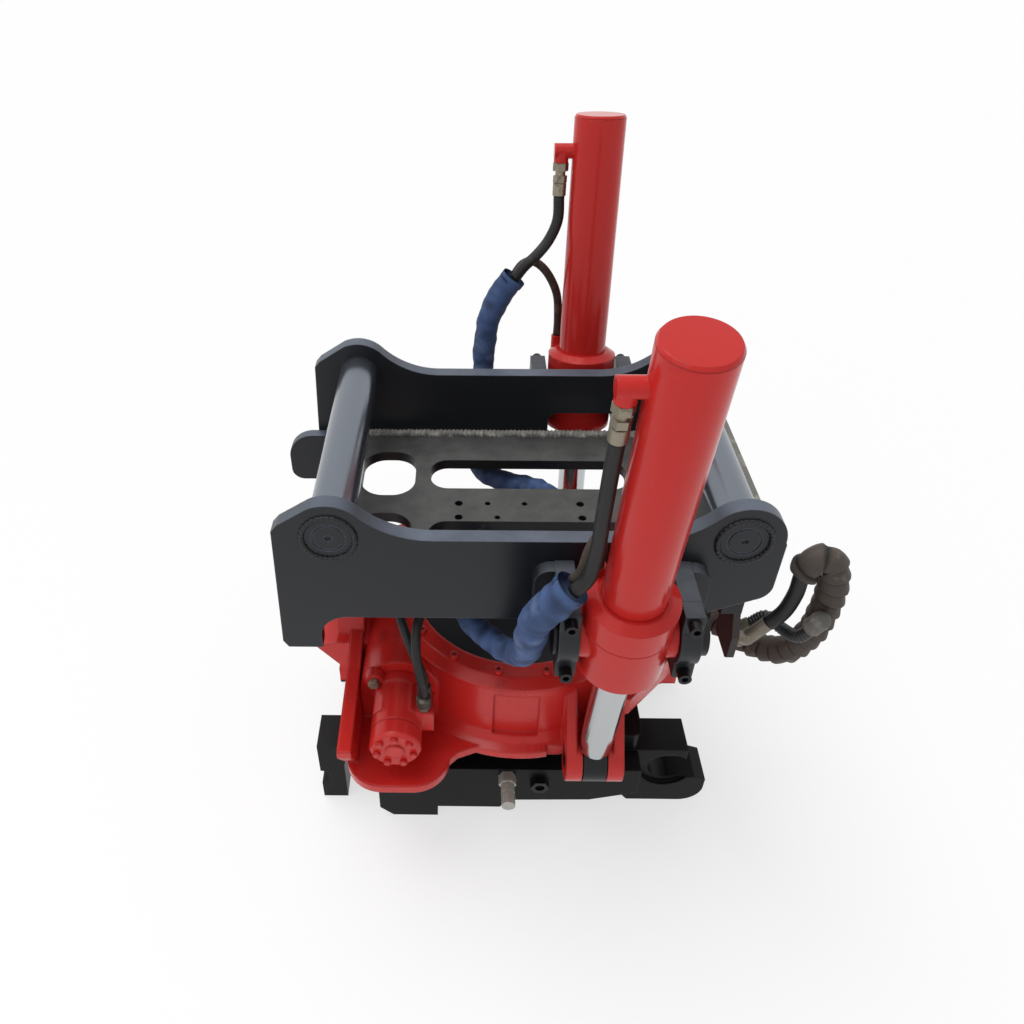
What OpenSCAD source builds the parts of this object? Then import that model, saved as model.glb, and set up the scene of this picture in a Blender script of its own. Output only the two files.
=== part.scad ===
// Excavator tilt rotator: a pin-on hitch that tilts on two cylinders over a worm-driven rotor,
// with a quick coupler for the tool underneath.
// Origin midway between the two machine pins, +X towards the tool hook, +Y along the pins, +Z up.

/* [Hitch] */
// Distance between the two machine pins
pin_spacing = 600; // [590:1:610]
// Diameter of each machine pin
pin_d = 70; // [60:1:76]
// Clear width between the side plates
plate_gap = 442; // [436:1:450]
// Thickness of each side plate
plate_t = 25; // [20:1:26]
// Radius of the ears round the pins
ear_r = 60; // [54:1:66]
// Radius of the hollow that joins an ear to the flat top edge
blend_r = 150; // [130:1:170]
// Depth of the flat top edge below the pin axis
plate_dip = 3; // [0:1:10]
// Depth of the bottom edge below the pin axis
plate_bottom = 163; // [158:1:168]
// Reach of the plates' foot end from the middle
foot_end = 388; // [384:1:394]
// Length of the foot along the plate
foot_l = 59; // [50:1:64]
// Depth of the foot below the pin axis
foot_drop = 233; // [225:1:240]
// Reach of the plates' other end past its pin
end_past_pin = 62; // [60:1:68]
// Depth of the web plate's top below the pin axis
web_depth = 134; // [130:1:138]
// Thickness of the web plate
web_t = 20; // [14:1:24]
// Thickness of the gusset at the rear foot
gusset_t = 20; // [15:1:24]
// Reach of the gusset past the foot end
gusset_past = 59; // [50:1:66]
// Diameter of the tapped holes in the web plate
tap_d = 14; // [8:1:18]
// Length of the tapped hole group along X
tap_l = 214; // [200:1:220]
// Width of the tapped hole group along Y
tap_w = 38; // [30:1:44]

/* [Tilt linkage] */
// Depth of the tilt axis below the pin axis
tilt_drop = 251; // [248:1:254]
// Distance from the tilt axis to the trunnions and to the rod pins
tilt_arm = 361; // [360:1:366]
// Rise of the trunnions seen from the tilt axis
trunnion_angle = 24.7; // [24.3:0.1:25]
// Fall of the rod pins seen from the tilt axis
rod_pin_angle = 42.5; // [42.2:0.1:43]
// Diameter of the tilt pins
tilt_pin_d = 60; // [50:1:64]
// Wall of the bushes on the tilt pins
bush_wall = 6; // [4:1:8]
// Wall of the lugs and ears round the tilt pins
eye_wall = 22; // [18:1:26]
// Thickness of the tilt lugs
lug_t = 33; // [26:1:34]
// Thickness of the housing's tilt ears
tilt_ear_t = 50; // [44:1:52]
// Inner face of the foot-end tilt ear, measured from the middle
foot_ear_x = 285; // [284:1:287]
// Inner face of the hook-end tilt ear, measured from the middle
hook_ear_x = 250; // [248:1:252]

/* [Tilt cylinders] */
// Place of the cylinders along X
cyl_x = 129; // [125:1:133]
// Outside diameter of the barrels
barrel_d = 90; // [84:1:96]
// Wall of the barrels
barrel_wall = 8; // [6:1:12]
// Height of the barrels above the trunnions
barrel_top = 510; // [505:1:530]
// Thickness of the end caps in the barrels
cap_t = 30; // [20:1:32]
// Diameter of the trunnion collars
collar_d = 131; // [126:1:132]
// Height of the collar above the trunnions
collar_up = 90; // [80:1:92]
// Depth of the collar below the trunnions
collar_down = 68; // [62:1:70]
// Diameter of the piston rods
rod_d = 56; // [50:1:57]
// Height of the piston's foot above the rod pin
piston_at = 577; // [576:1:580]
// Length of the piston
piston_l = 50; // [40:1:55]
// Diameter of the trunnion journals
journal_d = 50; // [40:1:54]
// Diameter of the rod pins
rod_pin_d = 40; // [30:1:44]
// Width of the rod eyes
eye_w = 40; // [34:1:44]
// Outside radius of the rod eyes and clevis ears
eye_r = 42; // [38:1:44]
// Thickness of the clevis ears
clevis_t = 28; // [22:1:30]
// Thickness of the trunnion arms along X
arm_t = 29; // [24:1:32]
// Distance between the cap bolts on one trunnion
cap_bolt_gap = 98; // [94:1:102]

/* [Rotor housing] */
// Outside radius of the cover ring
cover_r = 240; // [238:1:241]
// Inner radius of the cover ring
cover_bore_r = 190; // [180:1:190]
// Depth of the cover ring's top below the pin axis
cover_depth = 335; // [333:1:340]
// Thickness of the cover ring
cover_t = 18; // [12:1:20]
// Outside radius of the housing wall
wall_r = 234; // [230:1:236]
// Radius of the chamber in the housing
chamber_r = 192; // [192:1:196]
// Outside radius of the bottom flange
flange_r = 262; // [256:1:264]
// Depth of the housing's bottom face below the top of its cover
housing_bottom = 175; // [173:1:177]
// Thickness of the housing's bottom
bottom_t = 20; // [16:1:24]
// Radius of the motor tray's front corners
tray_r = 65; // [60:1:70]
// Centres of the motor tray's front corners along Y
tray_y = 268; // [262:1:272]
// Width of the motor tray
tray_w = 183; // [178:1:188]
// Height of the tray's side wall above its bottom
tray_wall_h = 115; // [100:1:120]
// Thickness of the tray's side wall
tray_wall_t = 24; // [18:1:28]

/* [Worm drive] */
// Tooth module of the ring gear
tooth_m = 6; // [6:1:6]
// Teeth on the ring gear
teeth = 60; // [60:1:60]
// Pitch radius of the worm
worm_r = 36; // [35:1:37]
// Turns of thread on the worm, an even number
worm_turns = 4; // [4:2:6]
// Depth of the worm axis below the top of the housing's cover
worm_depth = 75; // [73:1:78]
// Face width of the ring gear
gear_w = 30; // [24:1:32]
// Radius of the worm journals
worm_journal_r = 20; // [16:1:22]
// Length of the worm chamber along Y
lobe_l = 370; // [364:1:376]
// Wall round the worm chamber
lobe_wall = 24; // [18:1:26]
// Radius of the motor body
motor_r = 44; // [40:1:46]
// Length of the motor from the worm chamber to its end face
motor_end = 133; // [127:1:137]

/* [Tool coupler] */
// Distance between the tool's two pins
tool_spacing = 600; // [594:1:606]
// Diameter of the tool's pins
tool_pin_d = 70; // [66:1:70]
// Depth of the tool's pins below the deck's top
tool_drop = 110; // [108:1:112]
// Depth of the floor below the tool's pins
floor_depth = 102; // [100:1:107]
// Outside width over the coupler's cheeks
coupler_w = 370; // [364:1:374]
// Thickness of each cheek
cheek_t = 75; // [66:1:78]
// Thickness of the side bars outside the cheeks
bar_t = 41; // [34:1:44]
// Thickness of the deck
deck_t = 45; // [42:1:48]
// Drop from the housing's bottom face to the deck's top
deck_depth = 35; // [34:1:38]
// Radius of the turntable
table_r = 230; // [220:1:234]
// Thickness of the turntable
table_t = 27; // [24:1:28]
// Outside radius of the turntable's hub
hub_r = 165; // [160:1:166]
// Wall of the turntable's hub
hub_wall = 25; // [18:1:30]
// Diameter of the lock pins
lock_d = 32; // [26:1:34]
// Distance between the lock pins along Y
lock_gap = 150; // [130:1:160]
// Travel of the lock pins
lock_travel = 75; // [70:1:78]

/* [Clearances] */
// Gap at each side of a running pin or shaft
run_gap = 0.05; // [0.02:0.01:0.1]
// Gap between pieces that are set beside each other
seat_gap = 0.1; // [0.05:0.05:0.2]
// Gap between faces that slide past each other
side_gap = 5; // [4:0.5:6]

/* [Hidden] */
$fn = 48;

red = "#b3272b";
black = "#2a2b2e";
zinc = "#8f8878";
bright = "#c9ccd0";
bronze = "#9a7b45";

pin_r = pin_d/2;
half = pin_spacing/2;
plate_out = plate_gap/2 + plate_t;
web_top = -web_depth;
gusset_end = -foot_end - gusset_past;

tilt_z = -tilt_drop;
trunnion_y = tilt_arm*cos(trunnion_angle);
trunnion_z = tilt_z + tilt_arm*sin(trunnion_angle);
rod_pin_y = tilt_arm*cos(rod_pin_angle);
rod_pin_z = tilt_z - tilt_arm*sin(rod_pin_angle);
lean = atan((trunnion_y - rod_pin_y)/(trunnion_z - rod_pin_z));
rest_l = 2*tilt_arm*sin((trunnion_angle + rod_pin_angle)/2);

tilt_r = tilt_pin_d/2;
tilt_eye_r = tilt_r + bush_wall + eye_wall;
foot_ear_out = foot_ear_x + tilt_ear_t;
hook_ear_out = hook_ear_x + tilt_ear_t;
foot_lug = -foot_ear_out - side_gap - lug_t;
hook_lugs = [hook_ear_x - side_gap - lug_t, hook_ear_out + side_gap];

barrel_r = barrel_d/2;
bore_r = barrel_r - barrel_wall;
collar_r = collar_d/2;
collar_seat = -10;
rod_r = rod_d/2;
journal_r = journal_d/2;
arm_x = collar_r + side_gap;
journal_x = arm_x + arm_t + 1;
arm_half_h = cap_bolt_gap/2 + 13;
cap_flange = 32;
cap_bolt_r = 6;

cover_top = -cover_depth;
wall_top = cover_top - cover_t;
base_z = cover_top - housing_bottom;
ear_foot = 40;
floor_in = base_z + bottom_t;
slew_bore_r = hub_r + 7;
pitch_r = tooth_m*teeth/2;
worm_x = -(pitch_r + worm_r);
worm_z = cover_top - worm_depth;
worm_tip_r = worm_r + tooth_m;
worm_chamber_r = worm_tip_r + 4;
lobe_r = worm_chamber_r + lobe_wall;
lobe_end = lobe_l/2;
motor_face = lobe_end + motor_end;
worm_pitch = PI*tooth_m;
worm_l = worm_turns*worm_pitch;
tray_out = worm_x - tray_w/2;
tray_in = worm_x + tray_w/2;

tool_half = tool_spacing/2;
seat_r = tool_pin_d/2 + 0.1;
deck_top = base_z - deck_depth;
tool_z = deck_top - tool_drop;
floor_z = tool_z - floor_depth;
deck_under = deck_top - deck_t;
table_top = deck_top + table_t;
coupler_out = coupler_w/2;
coupler_in = coupler_out - cheek_t;
lock_r = lock_d/2;
lock_z = tool_z - seat_r - 1 - lock_r;
lock_face = -tool_half + seat_r;
lock_back = lock_face + 90;
yoke_x = lock_back + lock_travel + side_gap;

// Points along an arc, from angle a0 to angle a1
function arc(c, r, a0, a1, n = 12) =
  [for (i = [0:n]) c + r*[cos(a0 + (a1 - a0)*i/n), sin(a0 + (a1 - a0)*i/n)]];

// An outline in XZ made a plate from y0 to y0 + t
module xz_plate(y0, t) { translate([0, y0 + t, 0]) rotate([90, 0, 0]) linear_extrude(t) children(); }

// An outline in YZ made a plate from x0 to x0 + t
module yz_plate(x0, t) { translate([x0, 0, 0]) rotate([90, 0, 90]) linear_extrude(t) children(); }

module bar_x(x0, l, r, y, z) { translate([x0, y, z]) rotate([0, 90, 0]) cylinder(h = l, r = r); }

module bar_y(y0, l, r, x, z) { translate([x, y0, z]) rotate([-90, 0, 0]) cylinder(h = l, r = r); }

// A plain ring round Z
module ring(z0, h, r_out, r_in) {
  translate([0, 0, z0]) difference() {
    cylinder(h = h, r = r_out, $fn = 96);
    translate([0, 0, -1]) cylinder(h = h + 2, r = r_in, $fn = 96);
  }
}

// A round-cornered rectangle from corner p to corner q
module soft_rect(p, q, r) {
  union() {
    translate(p + [r, 0]) square([q[0] - p[0] - 2*r, q[1] - p[1]]);
    translate(p + [0, r]) square([q[0] - p[0], q[1] - p[1] - 2*r]);
    for (x = [p[0] + r, q[0] - r], y = [p[1] + r, q[1] - r]) translate([x, y]) circle(r);
  }
}

// The rear piece is the front piece mirrored
module on_side(rear) {
  if (rear) mirror([0, 1, 0]) children();
  else children();
}

// The front cylinder's own frame: origin on the trunnion axis, Z up the barrel
module cylinder_frame(rear) {
  on_side(rear) translate([cyl_x, -trunnion_y, trunnion_z]) rotate([lean, 0, 0]) children();
}

// The front trunnion's frame in the hitch: origin on the trunnion axis, not leaning
module trunnion_frame(rear) {
  on_side(rear) translate([cyl_x, -trunnion_y, trunnion_z]) children();
}

// A cap screw along +Z with its head below z = 0
module cap_screw(r, l, head_h) {
  difference() {
    union() {
      cylinder(h = l, r = r);
      translate([0, 0, -head_h]) cylinder(h = head_h, r = 1.6*r);
    }
    translate([0, 0, -head_h - 1]) cylinder(h = 0.6*head_h + 1, r = 0.9*r, $fn = 6);
  }
}

// Hitch

blend_x = sqrt(pow(ear_r + blend_r, 2) - pow(blend_r - plate_dip, 2));
blend_a = atan2(blend_r - plate_dip, blend_x);
blend_z = blend_r - plate_dip;
foot_fillet = 45;
end_corner = 30;
slope_rise = 45;
slope_l = 130;

module side_plate_outline() {
  foot_x = -foot_end + foot_l;
  right = half + end_past_pin;
  polygon(concat(
    [[-foot_end - 4, -foot_drop + 14], [-foot_end + 6, 12], [-foot_end + 16, 24]],
    arc([-half, 0], ear_r, 116, blend_a, 30),
    arc([-half + blend_x, blend_z], blend_r, 180 + blend_a, 270, 20),
    arc([half - blend_x, blend_z], blend_r, 270, 360 - blend_a, 20),
    arc([half, 0], ear_r, 180 - blend_a, 0, 50),
    [[right, -6]],
    arc([right - end_corner, -plate_bottom + slope_rise + end_corner], end_corner, 0, -75, 8),
    [[right - slope_l, -plate_bottom]],
    arc([foot_x + foot_fillet, -plate_bottom - foot_fillet], foot_fillet, 90, 180, 10),
    [[foot_x, -foot_drop], [-foot_end + 4, -foot_drop]]));
}

module side_plate(rear) {
  notch = collar_r + side_gap;
  color(black) on_side(rear) difference() {
    xz_plate(-plate_out, plate_t) side_plate_outline();
    for (x = [-half, half]) bar_y(-plate_out - 1, plate_t + 2, pin_r + seat_gap, x, 0);
    xz_plate(-plate_out - 1, plate_t + 2)
      soft_rect([cyl_x - notch, -plate_bottom - 40], [cyl_x + notch, trunnion_z + 15], 20);
  }
}

web_x0 = foot_lug + lug_t + seat_gap;
web_x1 = hook_lugs[1] + lug_t;
web_hole_y = [25, 157];
web_slot_y = [46, 132];
tap_y = -16;
tap_x = -5;

module web_plate() {
  w = plate_gap/2 - seat_gap;
  color(black) translate([0, 0, web_top - web_t]) difference() {
    linear_extrude(web_t) difference() {
      translate([web_x0, -w]) square([web_x1 - web_x0, 2*w]);
      for (s = [0, 1]) mirror([0, s]) {
        soft_rect([-290, web_hole_y[0]], [-192, web_hole_y[1]], 42);
        soft_rect([-164, web_slot_y[0]], [196, web_slot_y[1]], 32);
      }
    }
    for (x = [-tap_l/2, tap_l/2], y = [-tap_w/2, tap_w/2])
      translate([tap_x + x, tap_y + y, -1]) cylinder(h = web_t + 2, r = tap_d/2);
    for (p = [[-61, tap_y + tap_w/2], [4, tap_y + tap_w/2], [-45, tap_y - tap_w/2]])
      translate([p[0], p[1], -1]) cylinder(h = web_t + 2, r = tap_d/2 - 2);
  }
}

gusset_top = web_top + 6;
gusset_r = [50, 24];

// A rounded plate behind the rear foot, welded to the foot lug
module foot_gusset() {
  end = foot_lug - seat_gap;
  color(black) on_side(true) xz_plate(-plate_gap/2 + seat_gap, gusset_t - seat_gap)
    polygon(concat(
      arc([gusset_end + gusset_r[0], gusset_top - gusset_r[0]], gusset_r[0], 180, 90, 20),
      [[end, gusset_top], [end, -foot_drop]],
      arc([gusset_end + gusset_r[1], -foot_drop + gusset_r[1]], gusset_r[1], 270, 180, 10)));
}

module machine_pins() {
  groove_r = 0.62*pin_r;
  color(black) for (x = [-half, half]) difference() {
    bar_y(-plate_out, 2*plate_out, pin_r, x, 0);
    for (s = [-1, 1]) {
      bar_y(s*plate_out - 3, 6, 0.16*pin_r, x, 0);
      difference() {
        bar_y(s*plate_out - 2, 4, groove_r + 3, x, 0);
        bar_y(s*plate_out - 3, 6, groove_r, x, 0);
      }
    }
  }
}

guard_t = 12;
guard_h = 28;
guard_rise = 3;
guard_inset = 56;

module pin_guard() {
  l = plate_gap - 2*guard_inset;
  color(black) translate([half + pin_r + seat_gap, -l/2, guard_rise - guard_h]) cube([guard_t, l, guard_h]);
}

// A lug that narrows from its top edge to the eye round the tilt axis
module lug_outline(half_w, top, shoulder) {
  polygon([[-half_w, top], [half_w, top], [half_w, shoulder], [tilt_eye_r*0.86, tilt_z - tilt_eye_r*0.5],
    [-tilt_eye_r*0.86, tilt_z - tilt_eye_r*0.5], [-half_w, shoulder]]);
  translate([0, tilt_z]) circle(tilt_eye_r);
}

module tilt_lugs() {
  under = web_top - web_t - seat_gap;
  color(black) difference() {
    union() {
      yz_plate(foot_lug, lug_t) lug_outline(plate_gap/2 - seat_gap, web_top, tilt_z + 40);
      for (x = hook_lugs)
        yz_plate(x, lug_t) lug_outline(plate_gap/2 - seat_gap, under, under - 20);
    }
    for (x = concat([foot_lug], hook_lugs)) bar_x(x - 1, lug_t + 2, tilt_r + run_gap, 0, tilt_z);
  }
}

module tilt_pin(x0, x1) {
  past = 8;
  bar_x(x0 - past, x1 - x0 + 2*past, tilt_r, 0, tilt_z);
  bar_x(x0 - past - 10, 10, tilt_r + 8, 0, tilt_z);
}

module tilt_pins() {
  color(zinc) {
    tilt_pin(foot_lug, -foot_ear_x);
    tilt_pin(hook_lugs[0], hook_lugs[1] + lug_t);
  }
}

// Two arms with pads on the side plate, each with half of a trunnion bore
module trunnion_arms() {
  pad_w = arm_t + 34;
  pad_t = 22;
  pad_up = 60;
  back = trunnion_y - plate_out - seat_gap;
  color(black) for (rear = [false, true], s = [0, 1]) trunnion_frame(rear) mirror([s, 0, 0]) difference() {
    union() {
      translate([arm_x, 0, -arm_half_h]) cube([arm_t, back, 2*arm_half_h]);
      xz_plate(back - pad_t, pad_t) soft_rect([arm_x - 4, -arm_half_h], [arm_x - 4 + pad_w, pad_up], 24);
    }
    bar_x(arm_x - 10, arm_t + 30, journal_r + run_gap, 0, 0);
    for (z = [-cap_bolt_gap/2, cap_bolt_gap/2]) bar_y(-1, 45, cap_bolt_r + seat_gap, arm_x + arm_t/2, z);
  }
}

module trunnion_caps() {
  color(black) for (rear = [false, true], s = [0, 1]) trunnion_frame(rear) mirror([s, 0, 0]) difference() {
    union() {
      translate([arm_x, -cap_flange, -arm_half_h]) cube([arm_t, cap_flange - seat_gap, 2*arm_half_h]);
      intersection() {
        bar_x(arm_x, arm_t, journal_r + 20, 0, 0);
        translate([arm_x, -100, -100]) cube([arm_t, 100 - seat_gap, 200]);
      }
    }
    bar_x(arm_x - 1, arm_t + 2, journal_r + run_gap, 0, 0);
    for (z = [-cap_bolt_gap/2, cap_bolt_gap/2])
      bar_y(-cap_flange - 1, cap_flange + 2, cap_bolt_r + seat_gap, arm_x + arm_t/2, z);
  }
}

module cap_bolts() {
  color(black) for (rear = [false, true]) trunnion_frame(rear)
    for (s = [-1, 1], z = [-cap_bolt_gap/2, cap_bolt_gap/2])
      translate([s*(arm_x + arm_t/2), -cap_flange, z]) rotate([-90, 0, 0])
        cap_screw(cap_bolt_r, cap_flange + 40, 16);
}

block_l = 200;
block_w = 84;
block_h = 58;

module hose_block() {
  under = web_top - web_t - seat_gap;
  color(zinc) translate([0, 0, under - block_h]) linear_extrude(block_h)
    soft_rect([-block_l/2, -block_w/2], [block_l/2, block_w/2], 8);
}

// Tilt cylinders

port_up = barrel_top - 55;
port_r = 13;
port_l = 77;
fitting_l = 56;

gland_port = [-47, 40, 104];

module barrel(rear) {
  color(red) cylinder_frame(rear) difference() {
    union() {
      translate([0, 0, collar_seat]) cylinder(h = barrel_top - collar_seat, r = barrel_r);
      bar_x(-port_l, port_l, port_r, 0, port_up);
      translate([-port_l + port_r, 0, port_up - port_r - 6]) cylinder(h = port_r + 6, r = port_r);
    }
    translate([0, 0, collar_seat - 1]) cylinder(h = barrel_top - collar_seat + 2, r = bore_r);
    bar_x(-port_l + 10, port_l, 5, 0, port_up);
    translate([-port_l + port_r, 0, port_up - port_r - 8]) cylinder(h = port_r + 8, r = 8 + seat_gap);
  }
}

module end_cap(rear) {
  color(red) cylinder_frame(rear) union() {
    translate([0, 0, barrel_top + seat_gap]) cylinder(h = 5, r1 = barrel_r, r2 = barrel_r - 3);
    translate([0, 0, barrel_top - cap_t]) cylinder(h = cap_t + 1, r = bore_r - seat_gap);
  }
}

module collar(rear) {
  chamfer = 9;
  groove_up = 32;
  color(red) cylinder_frame(rear) difference() {
    union() {
      rotate_extrude($fn = 96) polygon([
        [rod_r + 0.4, -collar_down], [collar_r - 3, -collar_down], [collar_r, -collar_down + 3],
        [collar_r, groove_up - 1.5], [collar_r - 1.5, groove_up], [collar_r, groove_up + 1.5],
        [collar_r, collar_up - chamfer], [barrel_r + 6, collar_up], [barrel_r + seat_gap, collar_up],
        [barrel_r + seat_gap, collar_seat - seat_gap], [bore_r, collar_seat - seat_gap],
        [bore_r, collar_seat - 8], [rod_r + 0.4, collar_seat - 8]]);
      difference() {
        union() {
          bar_x(-journal_x, 2*journal_x, journal_r, 0, 0);
          bar_x(-arm_x + 1, 2*arm_x - 2, journal_r + 12, 0, 0);
          translate([gland_port[0], rear ? -gland_port[1] : gland_port[1], collar_up - 30])
            cylinder(h = gland_port[2] - collar_up + 30, r = 11);
        }
        translate([0, 0, -80]) cylinder(h = 200, r = barrel_r + 2);
      }
    }
    for (s = [-1, 1]) bar_x(s*journal_x - 20, 40, cap_bolt_r + seat_gap, 0, 0);
  }
}

module trunnion_washers(rear) {
  thick = [12, 5];
  color(black) cylinder_frame(rear) for (s = [0, 1]) mirror([s, 0, 0]) union() {
    bar_x(journal_x + seat_gap, thick[s], journal_r + 9, 0, 0);
    bar_x(journal_x - 18, 20, cap_bolt_r, 0, 0);
  }
}

module port_fitting(rear) {
  top = port_up - port_r - 6;
  color(zinc) cylinder_frame(rear) translate([-port_l + port_r, 0, 0]) union() {
    translate([0, 0, top - 12]) cylinder(h = 22, r = 8);
    translate([0, 0, top - 14]) cylinder(h = 13.5, r = 14, $fn = 6);
    translate([0, 0, top - 36]) cylinder(h = 24, r = 9);
    translate([0, 0, top - 34]) cylinder(h = 12, r = 12.5, $fn = 6);
    translate([0, 0, top - fitting_l]) cylinder(h = fitting_l - 35, r = 12);
  }
}

// The rod is wider than its eye, so it starts above the clevis ears
module rod(rear) {
  eye_at = -rest_l;
  foot = eye_r + 4;
  neck = sqrt(pow(rod_r, 2) - pow(eye_w/2, 2)) - 2;
  color(bright) cylinder_frame(rear) difference() {
    union() {
      translate([0, 0, eye_at + foot]) cylinder(h = piston_at + piston_l - foot, r = rod_r);
      bar_x(-eye_w/2, eye_w, eye_r, 0, eye_at);
      translate([-eye_w/2, -neck, eye_at]) cube([eye_w, 2*neck, foot + 1]);
    }
    bar_x(-eye_w/2 - 1, eye_w + 2, rod_pin_d/2 + bush_wall + seat_gap, 0, eye_at);
    translate([0, 0, eye_at + piston_at]) ring(0, piston_l + 1, rod_r + 5, rod_r - 5);
  }
}

module piston(rear) {
  foot = piston_at - rest_l;
  color(zinc) cylinder_frame(rear) translate([0, 0, foot]) difference() {
    cylinder(h = piston_l, r = bore_r - 0.2);
    translate([0, 0, -1]) cylinder(h = piston_l + 2, r = rod_r - 5 + seat_gap);
    for (z = [12, piston_l - 18]) translate([0, 0, z]) ring(0, 6, bore_r + 2, bore_r - 4);
  }
}

module rod_bush(rear) {
  color(bronze) cylinder_frame(rear) difference() {
    bar_x(-eye_w/2, eye_w, rod_pin_d/2 + bush_wall, 0, -rest_l);
    bar_x(-eye_w/2 - 1, eye_w + 2, rod_pin_d/2 + run_gap, 0, -rest_l);
  }
}

// Rotor housing

module housing_wall() {
  rotate_extrude($fn = 120) polygon([
    [slew_bore_r, base_z], [flange_r, base_z], [flange_r, base_z + 16],
    [wall_r + 12, base_z + 22], [wall_r, base_z + 36], [wall_r, wall_top],
    [chamber_r, wall_top], [chamber_r, floor_in], [slew_bore_r, floor_in]]);
}

// Outline of one clevis ear in YZ, below the sweep of the rod
module clevis_ear() {
  top = rod_pin_z + eye_r*sin(55);
  polygon(concat(
    [[-wall_r + 50, top]],
    arc([-rod_pin_y, rod_pin_z], eye_r, 55, 275, 24),
    [[-wall_r + 10, base_z], [-wall_r + 50, base_z]]));
}

// Outline of the rib beside the rod, from the ear up the housing wall
module clevis_rib() {
  polygon(concat(
    [[-wall_r + 50, wall_top - 12], [-wall_r + 20, wall_top - 20]],
    arc([-rod_pin_y, rod_pin_z], eye_r, 125, 275, 16),
    [[-wall_r + 10, base_z], [-wall_r + 50, base_z]]));
}

module clevis(rear) {
  gap = eye_w/2 + 2;
  rib_gap = rod_r + 4;
  on_side(rear) translate([cyl_x, 0, 0]) for (s = [0, 1]) mirror([s, 0, 0]) {
    yz_plate(gap, clevis_t) clevis_ear();
    yz_plate(rib_gap, gap + clevis_t - rib_gap) clevis_rib();
  }
}

// A tilt ear with its foot on the housing
module tilt_ear(x) {
  base = base_z + ear_foot;
  yz_plate(x, tilt_ear_t) {
    polygon([[-120, base], [120, base], [tilt_eye_r*0.95, tilt_z - tilt_eye_r*0.3],
      [-tilt_eye_r*0.95, tilt_z - tilt_eye_r*0.3]]);
    translate([0, tilt_z]) circle(tilt_eye_r);
  }
}

module motor_tray() {
  front = tray_y + tray_r;
  blend = [70, 247];
  translate([0, 0, base_z]) linear_extrude(bottom_t - 2) difference() {
    union() {
      for (x = [tray_out + tray_r, tray_in - tray_r]) translate([x, -tray_y]) circle(tray_r, $fn = 72);
      translate([tray_out + tray_r, -front]) square([tray_w - 2*tray_r, tray_r]);
      translate([tray_out, -tray_y]) square([tray_w, tray_y + 150]);
      polygon([[tray_in - 1, -tray_y - 10], [tray_in + 14, -blend[1] - 16], [-blend[0], -blend[1]],
        [-blend[0], -150], [tray_in - 1, -150]]);
    }
    circle(r = chamber_r, $fn = 96);
  }
  translate([tray_out - 4, 0, base_z]) rotate([90, 0, 90]) linear_extrude(tray_wall_t)
    polygon([[-tray_y - 4, 0], [-front, tray_wall_h - 16], [-front, tray_wall_h], [-160, tray_wall_h + 8],
      [-90, tray_wall_h + 30], [120, tray_wall_h + 30], [150, 0]]);
}

// The tilt ear's shoulder, which flares out under the foot lug
module ear_shoulder() {
  flare = 40;
  top = worm_z + 35;
  low = base_z + ear_foot;
  xz_plate(-110, 220) polygon([[-foot_ear_out - flare, top - 10], [-foot_ear_out, top], [worm_x, top],
    [worm_x, low], [-foot_ear_out + 10, low], [-foot_ear_out + 4, low + 30]]);
}

module rotor_housing() {
  ear_bore = tilt_r + bush_wall + seat_gap;
  color(red) difference() {
    union() {
      housing_wall();
      bar_y(-lobe_end, lobe_l, lobe_r, worm_x, worm_z);
      translate([worm_x - lobe_r, -lobe_end, base_z])
        cube([2*lobe_r, lobe_l, worm_z - base_z]);
      motor_tray();
      for (rear = [false, true]) clevis(rear);
      tilt_ear(-foot_ear_out);
      tilt_ear(hook_ear_x);
      ear_shoulder();
      translate([wall_r - 60, -120, base_z + ear_foot]) cube([hook_ear_out - wall_r + 60, 240, 70]);
      for (rear = [false, true]) on_side(rear) hull() {
        translate([cyl_x + eye_w/2 + 20, -wall_r + 5, worm_z - 10]) cube([20, 30, 40]);
        translate([hook_ear_x + 4, -110, worm_z - 30]) cube([tilt_ear_t - 8, 20, 60]);
      }
    }
    translate([0, 0, floor_in]) cylinder(h = 300, r = chamber_r, $fn = 120);
    translate([0, 0, wall_top]) cylinder(h = 100, r = cover_r + 1, $fn = 120);
    translate([0, 0, base_z - 1]) cylinder(h = 60, r = slew_bore_r, $fn = 120);
    bar_y(-lobe_end - 1, lobe_l + 2, worm_chamber_r, worm_x, worm_z);
    for (s = [0, 1]) mirror([0, s, 0])
      bar_x(cyl_x - 80, 160, rod_pin_d/2 + seat_gap, -rod_pin_y, rod_pin_z);
    for (x = [-foot_ear_out, hook_ear_x]) bar_x(x - 1, tilt_ear_t + 2, ear_bore, 0, tilt_z);
    for (rear = [false, true]) on_side(rear)
      bar_x(cyl_x - eye_w/2 - 1.5, eye_w + 3, eye_r + side_gap, -rod_pin_y, rod_pin_z);
    rotate([0, 0, 258]) rotate_extrude(angle = 20, $fn = 120)
      translate([wall_r - 6, base_z + 32]) square([10, wall_top - base_z - 51]);
  }
}

cover_bolt_n = 16;
cover_bolt_r = 5;
cover_bolt_ring = 212;

module housing_cover() {
  color(red) difference() {
    rotate_extrude($fn = 120) polygon([
      [cover_bore_r, wall_top + seat_gap], [cover_r, wall_top + seat_gap], [cover_r, wall_top + 6],
      [cover_r - 20, cover_top], [cover_bore_r, cover_top]]);
    for (i = [0:cover_bolt_n - 1]) rotate([0, 0, (i + 0.5)*360/cover_bolt_n])
      translate([cover_bolt_ring, 0, wall_top - 1]) cylinder(h = cover_t + 2, r = cover_bolt_r + seat_gap);
  }
}

core_r = 55;

module swivel_cap() {
  color(black) ring(wall_top - 12, 12 - seat_gap, chamber_r - 0.5, core_r + 1);
}

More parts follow.
